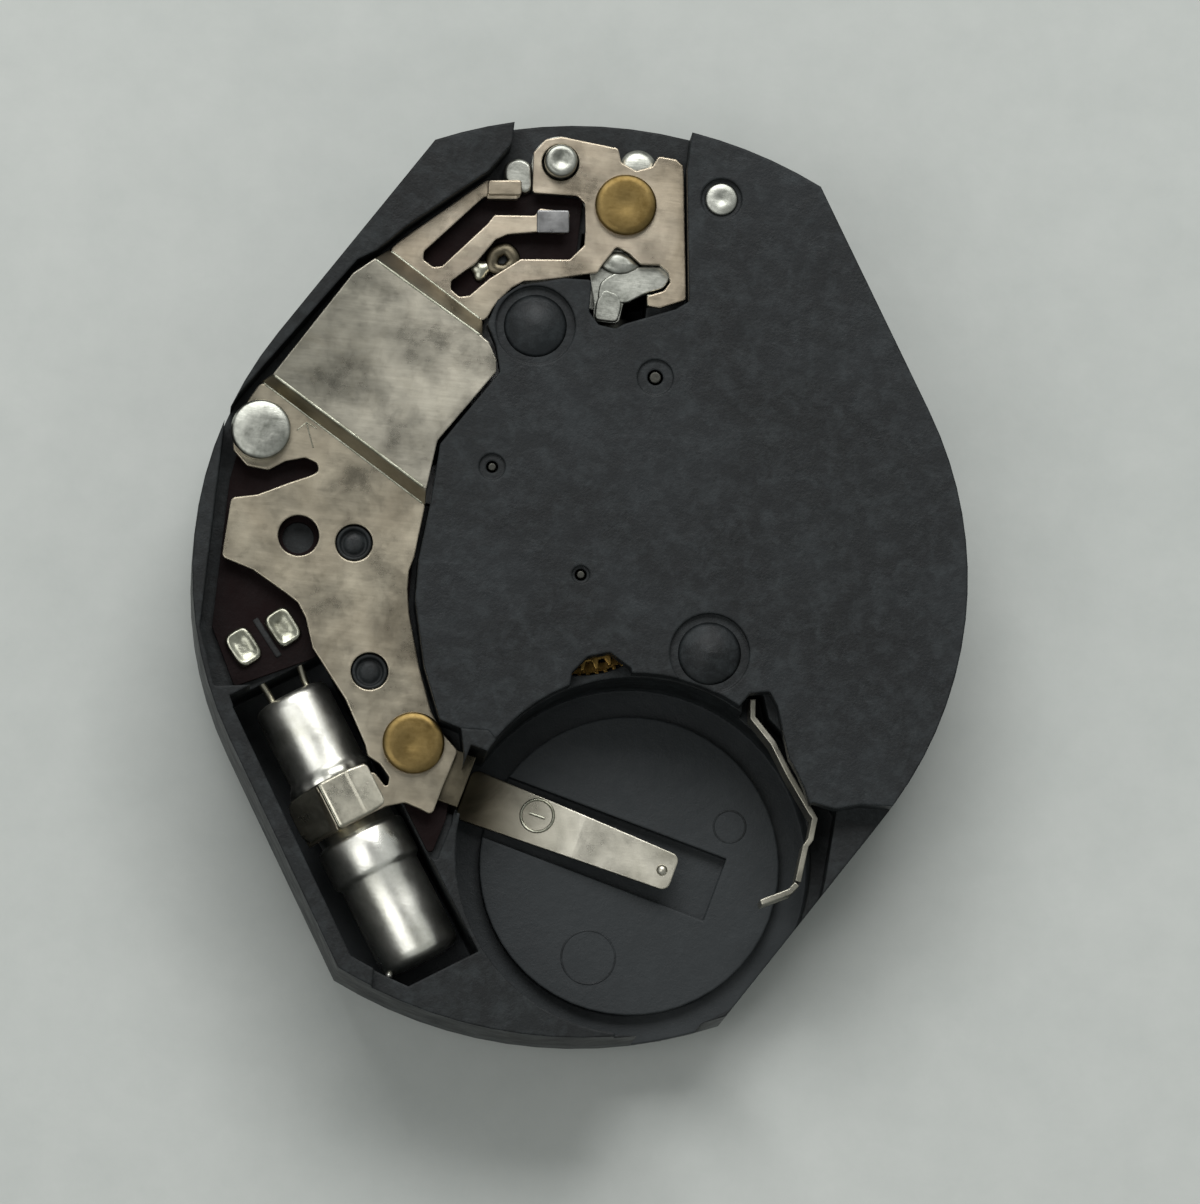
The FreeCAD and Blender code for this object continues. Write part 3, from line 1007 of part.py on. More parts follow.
# Pins and rivets
def pins():
    top = COVER_LEVEL_FORMULA + " + cover_thickness"
    heads = []
    for i, place in enumerate(BRASS_PINS):
        x, y = formulas(place)
        head = cylinder(f"brass_head_{i}", "brass_radius", "brass_height", x, y, top)
        shank = cylinder(f"brass_pin_{i}", "brass_shank", f"{top} - brass_low", x, y, "brass_low")
        heads.append(fuse(f"brass_{i}", head, shank))
    finish(compound("brass_pins", *heads), "brass_pins")
    rivets = []
    for i, place in enumerate(RIVETS):
        x, y = formulas(place)
        shank = cylinder(f"rivet_shank_{i}", "rivet_radius", "plate_height - dish_depth - rivet_low",
                         x, y, "rivet_low")
        radius = size("dome_radius")
        rise = size("dome_height")
        ball = (radius ** 2 + rise ** 2) / (2 * rise)
        dome = Part.makeSphere(ball, FreeCAD.Vector(0, 0, rise - ball)).common(
            Part.makeCylinder(radius, rise))
        seat = size("plate_height") - size("dish_depth")
        head = feature(f"rivet_dome_{i}", dome, place[0], place[1], seat)
        rivets.append(fuse(f"rivet_{i}", shank, head))
    finish(compound("bridge_rivets", *rivets), "bridge_rivets")
    pegs = []
    for i, place in enumerate(PEGS):
        pegs.append(cylinder(f"peg_{i}", "peg_radius", f"{top} - 0.02 - peg_low", *formulas(place),
                             "peg_low"))
    finish(compound("cover_pegs", *pegs), "cover_pegs")
    stud = cylinder("lever_stud", "stud_radius", "plate_height - 0.10 - stud_low",
                    *formulas(LEVER_STUD), "stud_low")
    finish(stud, "setting_lever_stud")
    pin = cylinder("bridge_pin", "stud_radius", "plate_height - 0.02 - stud_low",
                   *formulas(BRIDGE_PIN), "stud_low")
    finish(pin, "bridge_pin")
    x, y = formulas(MODULE_STUD)
    shank = cylinder("module_stud_shank", "stud_radius", f"{top} - stud_low", x, y, "stud_low")
    head = cylinder("module_stud_head", "collar_radius", "collar_height", x, y, top)
    finish(fuse("module_stud", shank, head), "module_stud")


# Cell contacts: thin strips, each split where it bends so that it can be pressed
def strip_from_side(name, profile, plan_points, corner):
    """A strip from its side view, a line of run and height, trimmed to its outline in plan."""
    thickness = size("contact_thickness")
    upper = [(run, height + thickness) for run, height in reversed(profile)]
    side = [FreeCAD.Vector(run, -1, height) for run, height in profile + upper]
    slab = Part.Face(Part.makePolygon(side + side[:1])).extrude(FreeCAD.Vector(0, 2, 0))
    plan = outline_face(plan_points, corner).extrude(FreeCAD.Vector(0, 0, 3))
    item = feature(name + "_shape", slab.common(plan))
    item.Placement = FreeCAD.Placement(
        FreeCAD.Vector(CONTACT_ROOT[0], CONTACT_ROOT[1], 0),
        FreeCAD.Rotation(FreeCAD.Vector(0, 0, 1), CONTACT_ANGLE),
    )
    return finish(item, name)


def negative_contact():
    """A leg from under the cover's edge down the wall, and the spring arm over the cell's seat."""
    thickness = size("contact_thickness")
    low = size("disc_top") - 0.12
    top = COVER_LEVEL - thickness - 0.005
    leg_side = [FreeCAD.Vector(run, -0.36, height) for run, height in (
        (-0.55, top), (0.06, top), (0.06, low), (0.06 + thickness, low),
        (0.06 + thickness, top + thickness), (-0.55, top + thickness))]
    leg = Part.Face(Part.makePolygon(leg_side + leg_side[:1])).extrude(FreeCAD.Vector(0, 0.88, 0))
    item = feature("negative_leg_shape", leg)
    item.Placement = FreeCAD.Placement(
        FreeCAD.Vector(CONTACT_ROOT[0], CONTACT_ROOT[1], 0),
        FreeCAD.Rotation(FreeCAD.Vector(0, 0, 1), CONTACT_ANGLE),
    )
    finish(item, "negative_contact_leg")
    strip_from_side(
        "negative_contact",
        [(0.17, low), (2.2, low + 0.29), (3.88, low + 0.43)],
        [(0.17, -0.36), (3.88, -0.30), (3.88, 0.32), (0.17, 0.52)], 0.14,
    )


def strip_on_edge(name, points):
    """A strip on edge that follows a line of points in plan, thickened to the line's left."""
    thickness = size("contact_thickness")
    far_side = []
    for i, point in enumerate(points):
        before = points[max(i - 1, 0)]
        after = points[min(i + 1, len(points) - 1)]
        along = FreeCAD.Vector(after[0] - before[0], after[1] - before[1], 0)
        along.normalize()
        far_side.append((point[0] - along.y * thickness, point[1] + along.x * thickness))
    face = Part.Face(Part.makePolygon([vector(point) for point in points + far_side[::-1]
                                       + points[:1]]))
    strip = face.extrude(FreeCAD.Vector(0, 0, size("side_contact_height")))
    return finish(feature(name + "_shape", strip, z=size("side_contact_low")), name)


def positive_contact():
    """A strip on edge beside the cell, and its tip that bends in against the cell's side."""
    strip_on_edge("positive_contact", SIDE_CONTACT)
    strip_on_edge("positive_contact_tip", SIDE_TIP)


for make in (main_plate, train_bridge, module_cover, circuit_board, board_components, motor, crystal,
             train, motion_work, dial_side_plate, setting_lever, yoke, sliding_pinion,
             pins, negative_contact, positive_contact):
    make()

doc.recompute()
os.makedirs("parts", exist_ok=True)
for item in doc.Objects:
    if "Invalid" in item.State or "Error" in item.State:
        raise RuntimeError(f"{item.Name} failed: {item.State}")
for item in subparts:
    if item.Shape.isNull() or not item.Shape.isValid():
        raise RuntimeError(f"{item.Label} has no valid shape")
    item.Shape.exportStep(f"parts/{item.Label}.step")
    print(item.Label, len(item.Shape.Solids), round(item.Shape.Volume, 4))
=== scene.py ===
"""Looks of the quartz watch movement: materials, fine pieces, light and camera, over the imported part."""
import bmesh
import bpy
import json
import math
from mathutils import Matrix, Vector


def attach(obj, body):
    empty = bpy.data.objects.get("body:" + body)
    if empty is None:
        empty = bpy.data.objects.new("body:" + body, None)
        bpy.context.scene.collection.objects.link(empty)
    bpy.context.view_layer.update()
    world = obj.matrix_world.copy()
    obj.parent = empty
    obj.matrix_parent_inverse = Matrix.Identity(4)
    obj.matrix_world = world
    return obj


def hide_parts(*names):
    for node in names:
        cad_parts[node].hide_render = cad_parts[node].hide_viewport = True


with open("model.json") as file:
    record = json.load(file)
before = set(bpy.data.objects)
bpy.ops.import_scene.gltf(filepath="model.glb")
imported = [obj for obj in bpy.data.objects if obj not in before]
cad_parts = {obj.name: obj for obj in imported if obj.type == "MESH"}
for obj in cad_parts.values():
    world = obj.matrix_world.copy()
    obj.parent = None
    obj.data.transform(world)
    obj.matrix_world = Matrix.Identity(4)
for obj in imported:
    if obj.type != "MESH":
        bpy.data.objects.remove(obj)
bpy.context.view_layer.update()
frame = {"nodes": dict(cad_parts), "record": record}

MM = 0.001
# Heights in the part, in mm: board top, cover top, top of the cover's raised box, floor under the part
BOARD_TOP = 1.82
COVER_TOP = 2.10
BOX_TOP = 2.37
FLOOR = -1.17
# How far the picture is turned from the part's own axes, in degrees
PICTURE_TURN = 6.5
scene = bpy.context.scene
scene.view_settings.view_transform = "Standard"


# Colours are given as they appear, 0 to 255
def colour(red, green, blue):
    linear = []
    for value in (red, green, blue):
        part = value / 255
        linear.append(part / 12.92 if part <= 0.04045 else ((part + 0.055) / 1.055) ** 2.4)
    return (*linear, 1.0)


class Shader:
    """A material's node tree, with short calls for the nodes that the materials here use."""

    def __init__(self, name):
        self.material = bpy.data.materials.new(name)
        self.material.use_nodes = True
        self.tree = self.material.node_tree
        self.principled = self.tree.nodes["Principled BSDF"]
        coordinates = self.tree.nodes.new("ShaderNodeTexCoord")
        self.place = coordinates.outputs["Object"]

    def node(self, kind, **settings):
        item = self.tree.nodes.new(kind)
        for key, value in settings.items():
            setattr(item, key, value)
        return item

    def link(self, source, target):
        self.tree.links.new(source, target)

    def mapped(self, stretch=(1, 1, 1), turn=0.0):
        item = self.node("ShaderNodeMapping")
        item.inputs["Scale"].default_value = stretch
        item.inputs["Rotation"].default_value = (0, 0, math.radians(turn))
        self.link(self.place, item.inputs["Vector"])
        return item.outputs["Vector"]

    def noise(self, per_mm, detail=3.0, rough=0.55, stretch=(1, 1, 1), turn=0.0, distortion=0.0):
        item = self.node("ShaderNodeTexNoise")
        item.inputs["Scale"].default_value = per_mm / MM
        item.inputs["Detail"].default_value = detail
        item.inputs["Roughness"].default_value = rough
        item.inputs["Distortion"].default_value = distortion
        self.link(self.mapped(stretch, turn), item.inputs["Vector"])
        return item.outputs["Fac"]

    def ramp(self, value, *stops):
        item = self.node("ShaderNodeValToRGB")
        ramp = item.color_ramp
        while len(ramp.elements) < len(stops):
            ramp.elements.new(0.5)
        for element, (position, shade) in zip(ramp.elements, stops):
            element.position = position
            element.color = shade if isinstance(shade, tuple) else (shade, shade, shade, 1)
        self.link(value, item.inputs["Fac"])
        return item.outputs["Color"]

    def mix(self, amount, first, second, blend="MIX"):
        item = self.node("ShaderNodeMix", data_type="RGBA", blend_type=blend)
        for value, socket in ((amount, item.inputs[0]), (first, item.inputs[6]), (second, item.inputs[7])):
            if isinstance(value, (int, float, tuple)):
                socket.default_value = value
            else:
                self.link(value, socket)
        return item.outputs[2]

    def colour(self, value):
        self.link(value, self.principled.inputs["Base Color"])

    def rough(self, value, low, high):
        item = self.node("ShaderNodeMapRange")
        item.inputs["To Min"].default_value = low
        item.inputs["To Max"].default_value = high
        item.inputs["From Min"].default_value = 0.3
        item.inputs["From Max"].default_value = 0.7
        self.link(value, item.inputs["Value"])
        self.link(item.outputs["Result"], self.principled.inputs["Roughness"])

    def bumps(self, *layers, edge=0.0):
        """Layers of (value, strength, depth in mm), over edges rounded by this many mm."""
        normal = None
        if edge:
            bevel = self.node("ShaderNodeBevel", samples=6)
            bevel.inputs["Radius"].default_value = edge * MM
            normal = bevel.outputs["Normal"]
        for value, strength, depth in layers:
            item = self.node("ShaderNodeBump")
            item.inputs["Strength"].default_value = strength
            item.inputs["Distance"].default_value = depth * MM
            self.link(value, item.inputs["Height"])
            if normal:
                self.link(normal, item.inputs["Normal"])
            normal = item.outputs["Normal"]
        self.link(normal, self.principled.inputs["Normal"])

    def set(self, **values):
        for key, value in values.items():
            self.principled.inputs[key.replace("_", " ")].default_value = value


# Materials
def moulded(name, dark, light, low=0.42, high=0.62, edge=0.05, deep=None, wear=0.45, gloss=0.28):
    """Black moulded plastic: worn grain, cloudy handling marks, soft edges; deep tints its low floors."""
    shader = Shader(name)
    cloud = shader.noise(0.55, detail=5, distortion=0.6)
    speck = shader.noise(22, detail=2)
    base = shader.ramp(cloud, (0.35, dark), (0.68, light))
    base = shader.mix(0.35, base, shader.ramp(speck, (0.42, dark), (0.62, light)), "LIGHTEN")
    worn = shader.noise(3.2, detail=8, rough=0.72, distortion=0.3)
    base = shader.mix(shader.ramp(worn, (0.46, 0.0), (0.76, wear)), base, colour(62, 68, 70))
    if deep:
        parts = shader.node("ShaderNodeSeparateXYZ")
        shader.link(shader.place, parts.inputs["Vector"])
        low_floor = shader.node("ShaderNodeMapRange")
        low_floor.inputs["From Min"].default_value = 0.47 * MM
        low_floor.inputs["From Max"].default_value = 0.52 * MM
        low_floor.inputs["To Min"].default_value = 0.75
        low_floor.inputs["To Max"].default_value = 0.0
        shader.link(parts.outputs["Z"], low_floor.inputs["Value"])
        base = shader.mix(low_floor.outputs["Result"], base, deep)
    shader.colour(base)
    shader.rough(shader.noise(2.2, detail=4), low, high)
    shader.bumps((shader.noise(30, detail=2), 0.30, 0.010),
                 (shader.noise(3, detail=6, rough=0.7), 0.22, 0.05),
                 (shader.noise(9, detail=4), 0.20, 0.02), edge=edge)
    shader.set(Specular_IOR_Level=gloss)
    return shader.material


def metal(name, dark, light, low=0.22, high=0.42, patch=0.5, scratch=0.12):
    """Bright metal: patchy tarnish, a fine grain and a few scratches."""
    shader = Shader(name)
    cloud = shader.noise(patch, detail=5, distortion=1.0)
    lines = shader.noise(14, detail=3)
    base = shader.ramp(cloud, (0.32, dark), (0.66, light))
    shader.colour(shader.mix(0.25, base, shader.ramp(lines, (0.35, dark), (0.6, light))))
    shader.rough(shader.noise(1.6, detail=5), low, high)
    hair = shader.noise(5, detail=6, rough=0.75, stretch=(0.12, 1, 1), turn=34)
    shader.bumps((lines, 0.10, 0.01), (hair, scratch, 0.012), edge=0.03)
    shader.set(Metallic=1.0)
    return shader.material


def cover_metal():
    """Rolled sheet with painted reflection: painted highlight, warm and bright at the stem end, painted
    shade, greyer on the raised box, and darker lower down.
    """
    shader = Shader("cover_sheet")
    parts = shader.node("ShaderNodeSeparateXYZ")
    shader.link(shader.place, parts.inputs["Vector"])

    def step(value, low, high):
        item = shader.node("ShaderNodeMapRange", interpolation_type="SMOOTHSTEP")
        item.inputs["From Min"].default_value = low * MM
        item.inputs["From Max"].default_value = high * MM
        shader.link(value, item.inputs["Value"])
        return item.outputs["Result"]

    cloud = shader.noise(0.45, detail=6, distortion=1.2)
    tarnish = shader.noise(1.7, detail=6, rough=0.7, distortion=0.5)
    # Painted reflection: the sheet is brighter and warmer at the stem end (upper) than lower down, and greyer
    # on the raised box.
    lower = shader.ramp(cloud, (0.3, colour(160, 150, 131)), (0.7, colour(192, 184, 164)))
    upper = shader.ramp(cloud, (0.3, colour(168, 155, 133)), (0.7, colour(216, 204, 184)))
    raised = shader.ramp(cloud, (0.3, colour(156, 153, 139)), (0.7, colour(192, 187, 171)))
    base = shader.mix(step(parts.outputs["Y"], 4.0, 4.8), lower, upper)
    # Painted shade and highlight across the raised box: darker towards its lower left, brighter towards its
    # upper right.
    shade = step(parts.outputs["X"], -5.2, -2.4)
    box_shade = shader.mix(shade, colour(118, 116, 106), colour(205, 199, 183))
    base = shader.mix(step(parts.outputs["Z"], 2.28, 2.36), base, shader.mix(0.6, raised, box_shade))
    base = shader.mix(shader.ramp(tarnish, (0.5, 0.0), (0.75, 0.3)), base, colour(130, 122, 102))
    grain = shader.noise(16, detail=3, stretch=(0.05, 1, 1), turn=-32)
    shader.colour(shader.mix(0.08, base, shader.ramp(grain, (0.35, 0.12), (0.65, 0.75)), "OVERLAY"))
    shader.rough(shader.noise(1.3, detail=6, rough=0.65), 0.24, 0.40)
    hair = shader.noise(4, detail=7, rough=0.8, stretch=(0.10, 1, 1), turn=40)
    wave = shader.noise(0.5, detail=2)
    shader.bumps((wave, 0.35, 0.10), (grain, 0.04, 0.008), (hair, 0.12, 0.014), edge=0.035)
    shader.set(Metallic=1.0)
    return shader.material


def strip_metal():
    """Sprung strip: painted shade near its root, where the wall's shade falls on it, and its own bright
    colour from there on.
    """
    shader = Shader("strip_sheet")
    parts = shader.node("ShaderNodeSeparateXYZ")
    shader.link(shader.place, parts.inputs["Vector"])
    # Painted shade: the strip is darker towards its root, at low X.
    reach = shader.node("ShaderNodeMapRange", interpolation_type="SMOOTHSTEP")
    reach.inputs["From Min"].default_value = -1.3 * MM
    reach.inputs["From Max"].default_value = 0.5 * MM
    shader.link(parts.outputs["X"], reach.inputs["Value"])
    cloud = shader.noise(0.8, detail=6, distortion=1.0)
    bright = shader.ramp(cloud, (0.3, colour(150, 147, 133)), (0.7, colour(208, 204, 190)))
    root_painted_shade = shader.ramp(cloud, (0.3, colour(66, 61, 50)), (0.7, colour(116, 109, 92)))
    shader.colour(shader.mix(reach.outputs["Result"], root_painted_shade, bright))
    shader.rough(shader.noise(1.6, detail=5), 0.24, 0.42)
    grain = shader.noise(16, detail=3, stretch=(0.05, 1, 1), turn=14)
    shader.bumps((grain, 0.10, 0.012), (shader.noise(2.4, detail=7, rough=0.75), 0.2, 0.016), edge=0.03)
    shader.set(Metallic=1.0)
    return shader.material


MATERIALS = {
    "plate": moulded("plate_black", colour(10, 12, 13), colour(22, 26, 27), deep=colour(48, 52, 54)),
    "bridge": moulded("bridge_black", colour(12, 15, 16), colour(28, 32, 34), 0.42, 0.60),
    "cover": cover_metal(),
    "board": moulded("board_laminate", colour(9, 1, 1), colour(20, 3, 3), 0.5, 0.7, edge=0.01, wear=0.0,
                     gloss=0.12),
    "chip": moulded("chip_black", colour(18, 18, 18), colour(30, 30, 30)),
    "solder": metal("solder_bright", colour(118, 118, 102), colour(184, 184, 168), 0.22, 0.40, patch=2.4,
                    scratch=0.4),
    "core": metal("core_iron", colour(120, 120, 120), colour(160, 160, 160)),
    "winding": metal("winding_wire", colour(150, 80, 50), colour(190, 110, 70)),
    "can": metal("can_plated", colour(222, 221, 208), colour(252, 251, 243), 0.26, 0.42,
                 patch=1.1, scratch=0.3),
    "lead": metal("lead_tinned", colour(150, 146, 130), colour(200, 196, 180)),
    "steel": metal("steel_turned", colour(122, 124, 116), colour(194, 195, 186), 0.28, 0.46, patch=1.6,
                   scratch=0.35),
    "brass": metal("brass_turned", colour(100, 82, 46), colour(134, 114, 72), 0.34, 0.5, patch=2.0,
                   scratch=0.2),
    "spring": strip_metal(),
    "wheel": metal("wheel_gilt", colour(160, 125, 62), colour(205, 170, 100)),
    "magnet": moulded("magnet_ground", colour(60, 60, 62), colour(90, 90, 92)),
}
PIVOT = metal("pivot_dull", colour(52, 52, 49), colour(88, 88, 82), 0.35, 0.5)
for entry in frame["record"]["subparts"]:
    item = frame["nodes"][entry["node"]]
    item.data.materials.clear()
    pinion = entry["node"].endswith("pinion") or entry["node"] == "setting_wheel"
    item.data.materials.append(PIVOT if pinion else MATERIALS[entry["material_slot"]])
    for face in item.data.polygons:
        face.material_index = 0


# Pieces: every one is made in millimetres in the part's own frame
def piece(name, mesh, body, slot, material=None, stands_for=()):
    item = bpy.data.objects.new(name, mesh)
    scene.collection.objects.link(item)
    item.data.materials.append(material or MATERIALS[slot])
    if stands_for:
        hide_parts(*stands_for)
    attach(item, body)
    return item


def as_mesh(name, build, smooth=True):
    build.normal_update()
    bmesh.ops.recalc_face_normals(build, faces=build.faces)
    mesh = bpy.data.meshes.new(name)
    build.to_mesh(mesh)
    build.free()
    mesh.transform(Matrix.Scale(MM, 4))
    for face in mesh.polygons:
        face.use_smooth = smooth
    return mesh


def turned(build, profile, place=(0, 0, 0), direction=(0, 0, 1), around=72, wobble=None):
    """A turned solid from (radius, along) points; wobble(along, angle) adds to the radius."""
    turn = Vector((0, 0, 1)).rotation_difference(Vector(direction))
    rings = []
    for radius, along in profile:
        if radius == 0:
            rings.append([build.verts.new(Vector(place) + turn @ Vector((0, 0, along)))])
            continue
        ring = []
        for i in range(around):
            angle = 2 * math.pi * i / around
            reach = radius + (wobble(along, angle) if wobble else 0)
            point = Vector((reach * math.cos(angle), reach * math.sin(angle), along))
            ring.append(build.verts.new(Vector(place) + turn @ point))
        rings.append(ring)
    for lower, upper in zip(rings, rings[1:]):
        for i in range(around):
            j = (i + 1) % around
            corners = [lower[i % len(lower)], lower[j % len(lower)], upper[j % len(upper)],
                       upper[i % len(upper)]]
            build.faces.new(list(dict.fromkeys(corners)))


def lathe(name, profile, place, body, slot, direction=(0, 0, 1), wobble=None, **options):
    build = bmesh.new()
    for spot in (place if isinstance(place, list) else [place]):
        turned(build, profile, spot, direction, wobble=wobble)
    return piece(name, as_mesh(name, build), body, slot, **options)


def skin(build, rings):
    """Walls between rings of equal count, closed at the last ring and then at the first."""
    for lower, upper in zip(rings, rings[1:]):
        for i in range(len(lower)):
            j = (i + 1) % len(lower)
            build.faces.new([lower[i], lower[j], upper[j], upper[i]])
    build.faces.new(rings[-1])
    build.faces.new(rings[0][::-1])


def round_corners(points, radius, steps=4):
    """The outline with each corner replaced by a short curve."""
    result = []
    for i, corner in enumerate(points):
        corner = Vector(corner)
        before = Vector(points[i - 1])
        after = Vector(points[(i + 1) % len(points)])
        reach = min(radius, (before - corner).length * 0.45, (after - corner).length * 0.45)
        start = corner + (before - corner).normalized() * reach
        end = corner + (after - corner).normalized() * reach
        for k in range(steps + 1):
            t = k / steps
            result.append(start * (1 - t) ** 2 + corner * (2 * t * (1 - t)) + end * t ** 2)
    return result


def flat_piece(name, outline, low, high, body, slot, corner=0.05, edge=0.02, **options):
    """A flat piece with rounded corners, whose upper edge is rolled over."""
    build = bmesh.new()
    outer = round_corners([Vector((x, y, 0)) for x, y in outline], corner)
    middle = sum(outer, Vector()) / len(outer)
    rings = []
    for inset, height in ((0, low), (0, high - edge), (edge * 0.3, high - edge * 0.3), (edge, high)):
        ring = []
        for point in outer:
            inward = (middle - point).normalized() * inset
            ring.append(build.verts.new(point + inward + Vector((0, 0, height))))
        rings.append(ring)
    skin(build, rings)
    mesh = as_mesh(name, build)
    mesh.polygons[len(mesh.polygons) - 2].use_smooth = False
    return piece(name, mesh, body, slot, **options)


def line_piece(name, runs, radius, body, slot, **options):
    """Fine rounded lines: folds, engraving and wires."""
    curve = bpy.data.curves.new(name, "CURVE")
    curve.dimensions = "3D"
    curve.bevel_depth = radius * MM
    curve.bevel_resolution = 3
    curve.use_fill_caps = True
    for run in runs:
        spline = curve.splines.new("POLY")
        spline.points.add(len(run) - 1)
        for knot, point in zip(spline.points, run):
            knot.co = (*(Vector(point) * MM), 1)
    holder = bpy.data.objects.new(name, curve)
    scene.collection.objects.link(holder)
    bpy.context.view_layer.update()
    mesh = bpy.data.meshes.new_from_object(holder.evaluated_get(bpy.context.evaluated_depsgraph_get()))
    bpy.data.objects.remove(holder)
    for face in mesh.polygons:
        face.use_smooth = True
    return piece(name, mesh, body, slot, **options)


def box_outline(place, length, width, degrees):
    x = Vector((math.cos(math.radians(degrees)), math.sin(math.radians(degrees))))
    y = Vector((-x.y, x.x))
    place = Vector(place)
    return [tuple(place + x * (a * length / 2) + y * (b * width / 2))
            for a, b in ((-1, -1), (1, -1), (1, 1), (-1, 1))]


# Crystal: drawn can with a crinkled joint and a swaged band, leads, solder
CAN_PLACE = (-3.1492, -4.4617, 1.18)
CAN_ANGLE = math.radians(-56.6)
CAN_ALONG = Vector((math.cos(CAN_ANGLE), math.sin(CAN_ANGLE), 0))
CAN_ASIDE = Vector((-CAN_ALONG.y, CAN_ALONG.x, 0))


def on_can(along, aside, height):
    spot = Vector(CAN_PLACE) + CAN_ALONG * along + CAN_ASIDE * aside
    return Vector((spot.x, spot.y, height))


def crinkle(along, angle):
    near = max(0.0, 1 - abs(along + 0.90) / 0.17)
    dent = max(0.0, 1 - abs(along - 0.45) / 0.36)
    return (near * (0.020 * math.sin(7 * angle) + 0.012 * math.sin(17 * angle + 1.3))
            + dent * 0.006 * math.sin(3 * angle + 0.6))


CAN_PROFILE = [
    (0, -2.45), (0.50, -2.45), (0.585, -2.42), (0.63, -2.35), (0.645, -2.25), (0.65, -1.60),
    (0.65, -1.12), (0.66, -1.06), (0.69, -1.02), (0.715, -0.96), (0.72, -0.90), (0.71, -0.84),
    (0.685, -0.79), (0.665, -0.74), (0.66, -0.40), (0.66, 0.08), (0.70, 0.11), (0.745, 0.14),
    (0.757, 0.18), (0.759, 0.45), (0.757, 0.74), (0.745, 0.79), (0.70, 0.82), (0.685, 0.86),
    (0.69, 1.50), (0.69, 2.22), (0.675, 2.32), (0.63, 2.40), (0.55, 2.44), (0.40, 2.45), (0, 2.45),
]
lathe("can_drawn", CAN_PROFILE, CAN_PLACE, "frame", "can", direction=CAN_ALONG, wobble=crinkle,
      stands_for=("crystal_can",))
lead_runs = []
for side in (-1, 1):
    lead_runs.append([on_can(-2.40, side * 0.31, 1.44), on_can(-2.58, side * 0.32, 1.50),
                      on_can(-2.72, side * 0.34, 1.58), on_can(-2.84, side * 0.36, 1.63)])
line_piece("lead_wires", lead_runs, 0.06, "frame", "lead", stands_for=("crystal_leads",))


SOLDER_TURN = 39.4


def solder():
    """Reflowed solder: a rounded square with a raised rim round a shallow dent."""
    half_width, half_length, most = 0.23, 0.31, 0.13
    build = bmesh.new()
    around = 40
    turn = math.radians(SOLDER_TURN)
    for place in ((-5.353, -1.783), (-4.743, -1.381)):
        rings = []
        for scale, height in ((1.0, 0.0), (1.0, 0.045), (0.95, 0.095), (0.86, 0.125), (0.76, 0.118),
                              (0.62, 0.085), (0.30, 0.075)):
            ring = []
            for i in range(around):
                angle = 2 * math.pi * i / around
                x = half_width * scale * math.copysign(abs(math.cos(angle)) ** 0.5, math.cos(angle))
                y = half_length * scale * math.copysign(abs(math.sin(angle)) ** 0.5, math.sin(angle))
                lift = height * (1 + 0.10 * math.sin(2 * angle + place[0]))
                point = (place[0] + x * math.cos(turn) - y * math.sin(turn),
                         place[1] + x * math.sin(turn) + y * math.cos(turn), BOARD_TOP + min(lift, most))
                ring.append(build.verts.new(point))
            rings.append(ring)
        skin(build, rings)
    piece("solder_joints", as_mesh("solder_joints", build), "frame", "solder",
          stands_for=("solder_pads",))


solder()
flat_piece("board_stripe", box_outline((-4.98, -1.58), 0.10, 0.74, SOLDER_TURN), 1.80, 1.835, "frame", "chip",
           corner=0.02, edge=0.008)


def strap():
    """The strap pressed over the can: a rounded tab that slopes down, a painted highlight along its bend and
    two facets.
    """
    stations = ((-0.90, 1.600, 0.22), (-0.87, 1.625, 0.10), (-0.80, 1.690, 0.03), (-0.34, 2.090, 0.0),
                (-0.30, 2.125, 0.0), (-0.26, 2.138, 0.0), (0.16, 2.152, 0.0), (0.22, 2.158, 0.0),
                (0.28, 2.150, 0.0), (0.52, 2.112, 0.03), (0.56, 2.104, 0.08))
    build = bmesh.new()
    rows = []
    for aside, height, pull in stations:
        row = []
        for share in (0, 0.04, 0.5, 0.96, 1):
            along = -0.86 + pull + (0.81 - 2 * pull) * share
            drop = 0.02 if share in (0, 1) else 0.0
            row.append(build.verts.new(on_can(along, aside, height - drop)))
        rows.append(row)
    for here, there in zip(rows, rows[1:]):
        for i in range(4):
            build.faces.new([here[i], here[i + 1], there[i + 1], there[i]])
    item = piece("strap_folds", as_mesh("strap_folds", build, smooth=False), "frame", "cover",
                 material=MATERIALS["lead"])
    thick = item.modifiers.new("thickness", "SOLIDIFY")
    thick.thickness = 0.02 * MM
    thick.offset = -1
    # Painted highlight: a bright rod along the strap's bend.
    line_piece("strap_bend_highlight", [[on_can(-0.84, -0.30, 2.128), on_can(-0.07, -0.30, 2.128)]], 0.016, "frame",
               "solder")


strap()
lathe("can_end_burr", [(0, -0.05), (0.05, -0.03), (0.07, 0.02), (0.05, 0.07), (0, 0.09)],
      tuple(on_can(2.42, -0.62, 1.30)), "frame", "can")

# Bright rods along the folds of the cover's raised box as painted highlights, the stamped arrow, and the ends
# of its spring arms
FOLDS = [((-3.74, 5.03, COVER_TOP), (-2.08, 4.04, COVER_TOP)),
         ((-3.97, 4.81, BOX_TOP), (-2.05, 3.73, BOX_TOP)),
         ((-5.57, 2.60, COVER_TOP), (-2.66, 0.88, COVER_TOP)),
         ((-5.40, 2.70, BOX_TOP), (-2.68, 1.11, BOX_TOP))]
FOLD_RADIUS = 0.030
FOLD_SINK = Vector((0, 0, 0.020))
fold_highlight_runs = []
for start, end in FOLDS:
    start, end = Vector(start), Vector(end)
    along = (end - start).normalized()
    fold_highlight_runs.append([start + along * 0.04 - FOLD_SINK, end - along * 0.06 - FOLD_SINK])
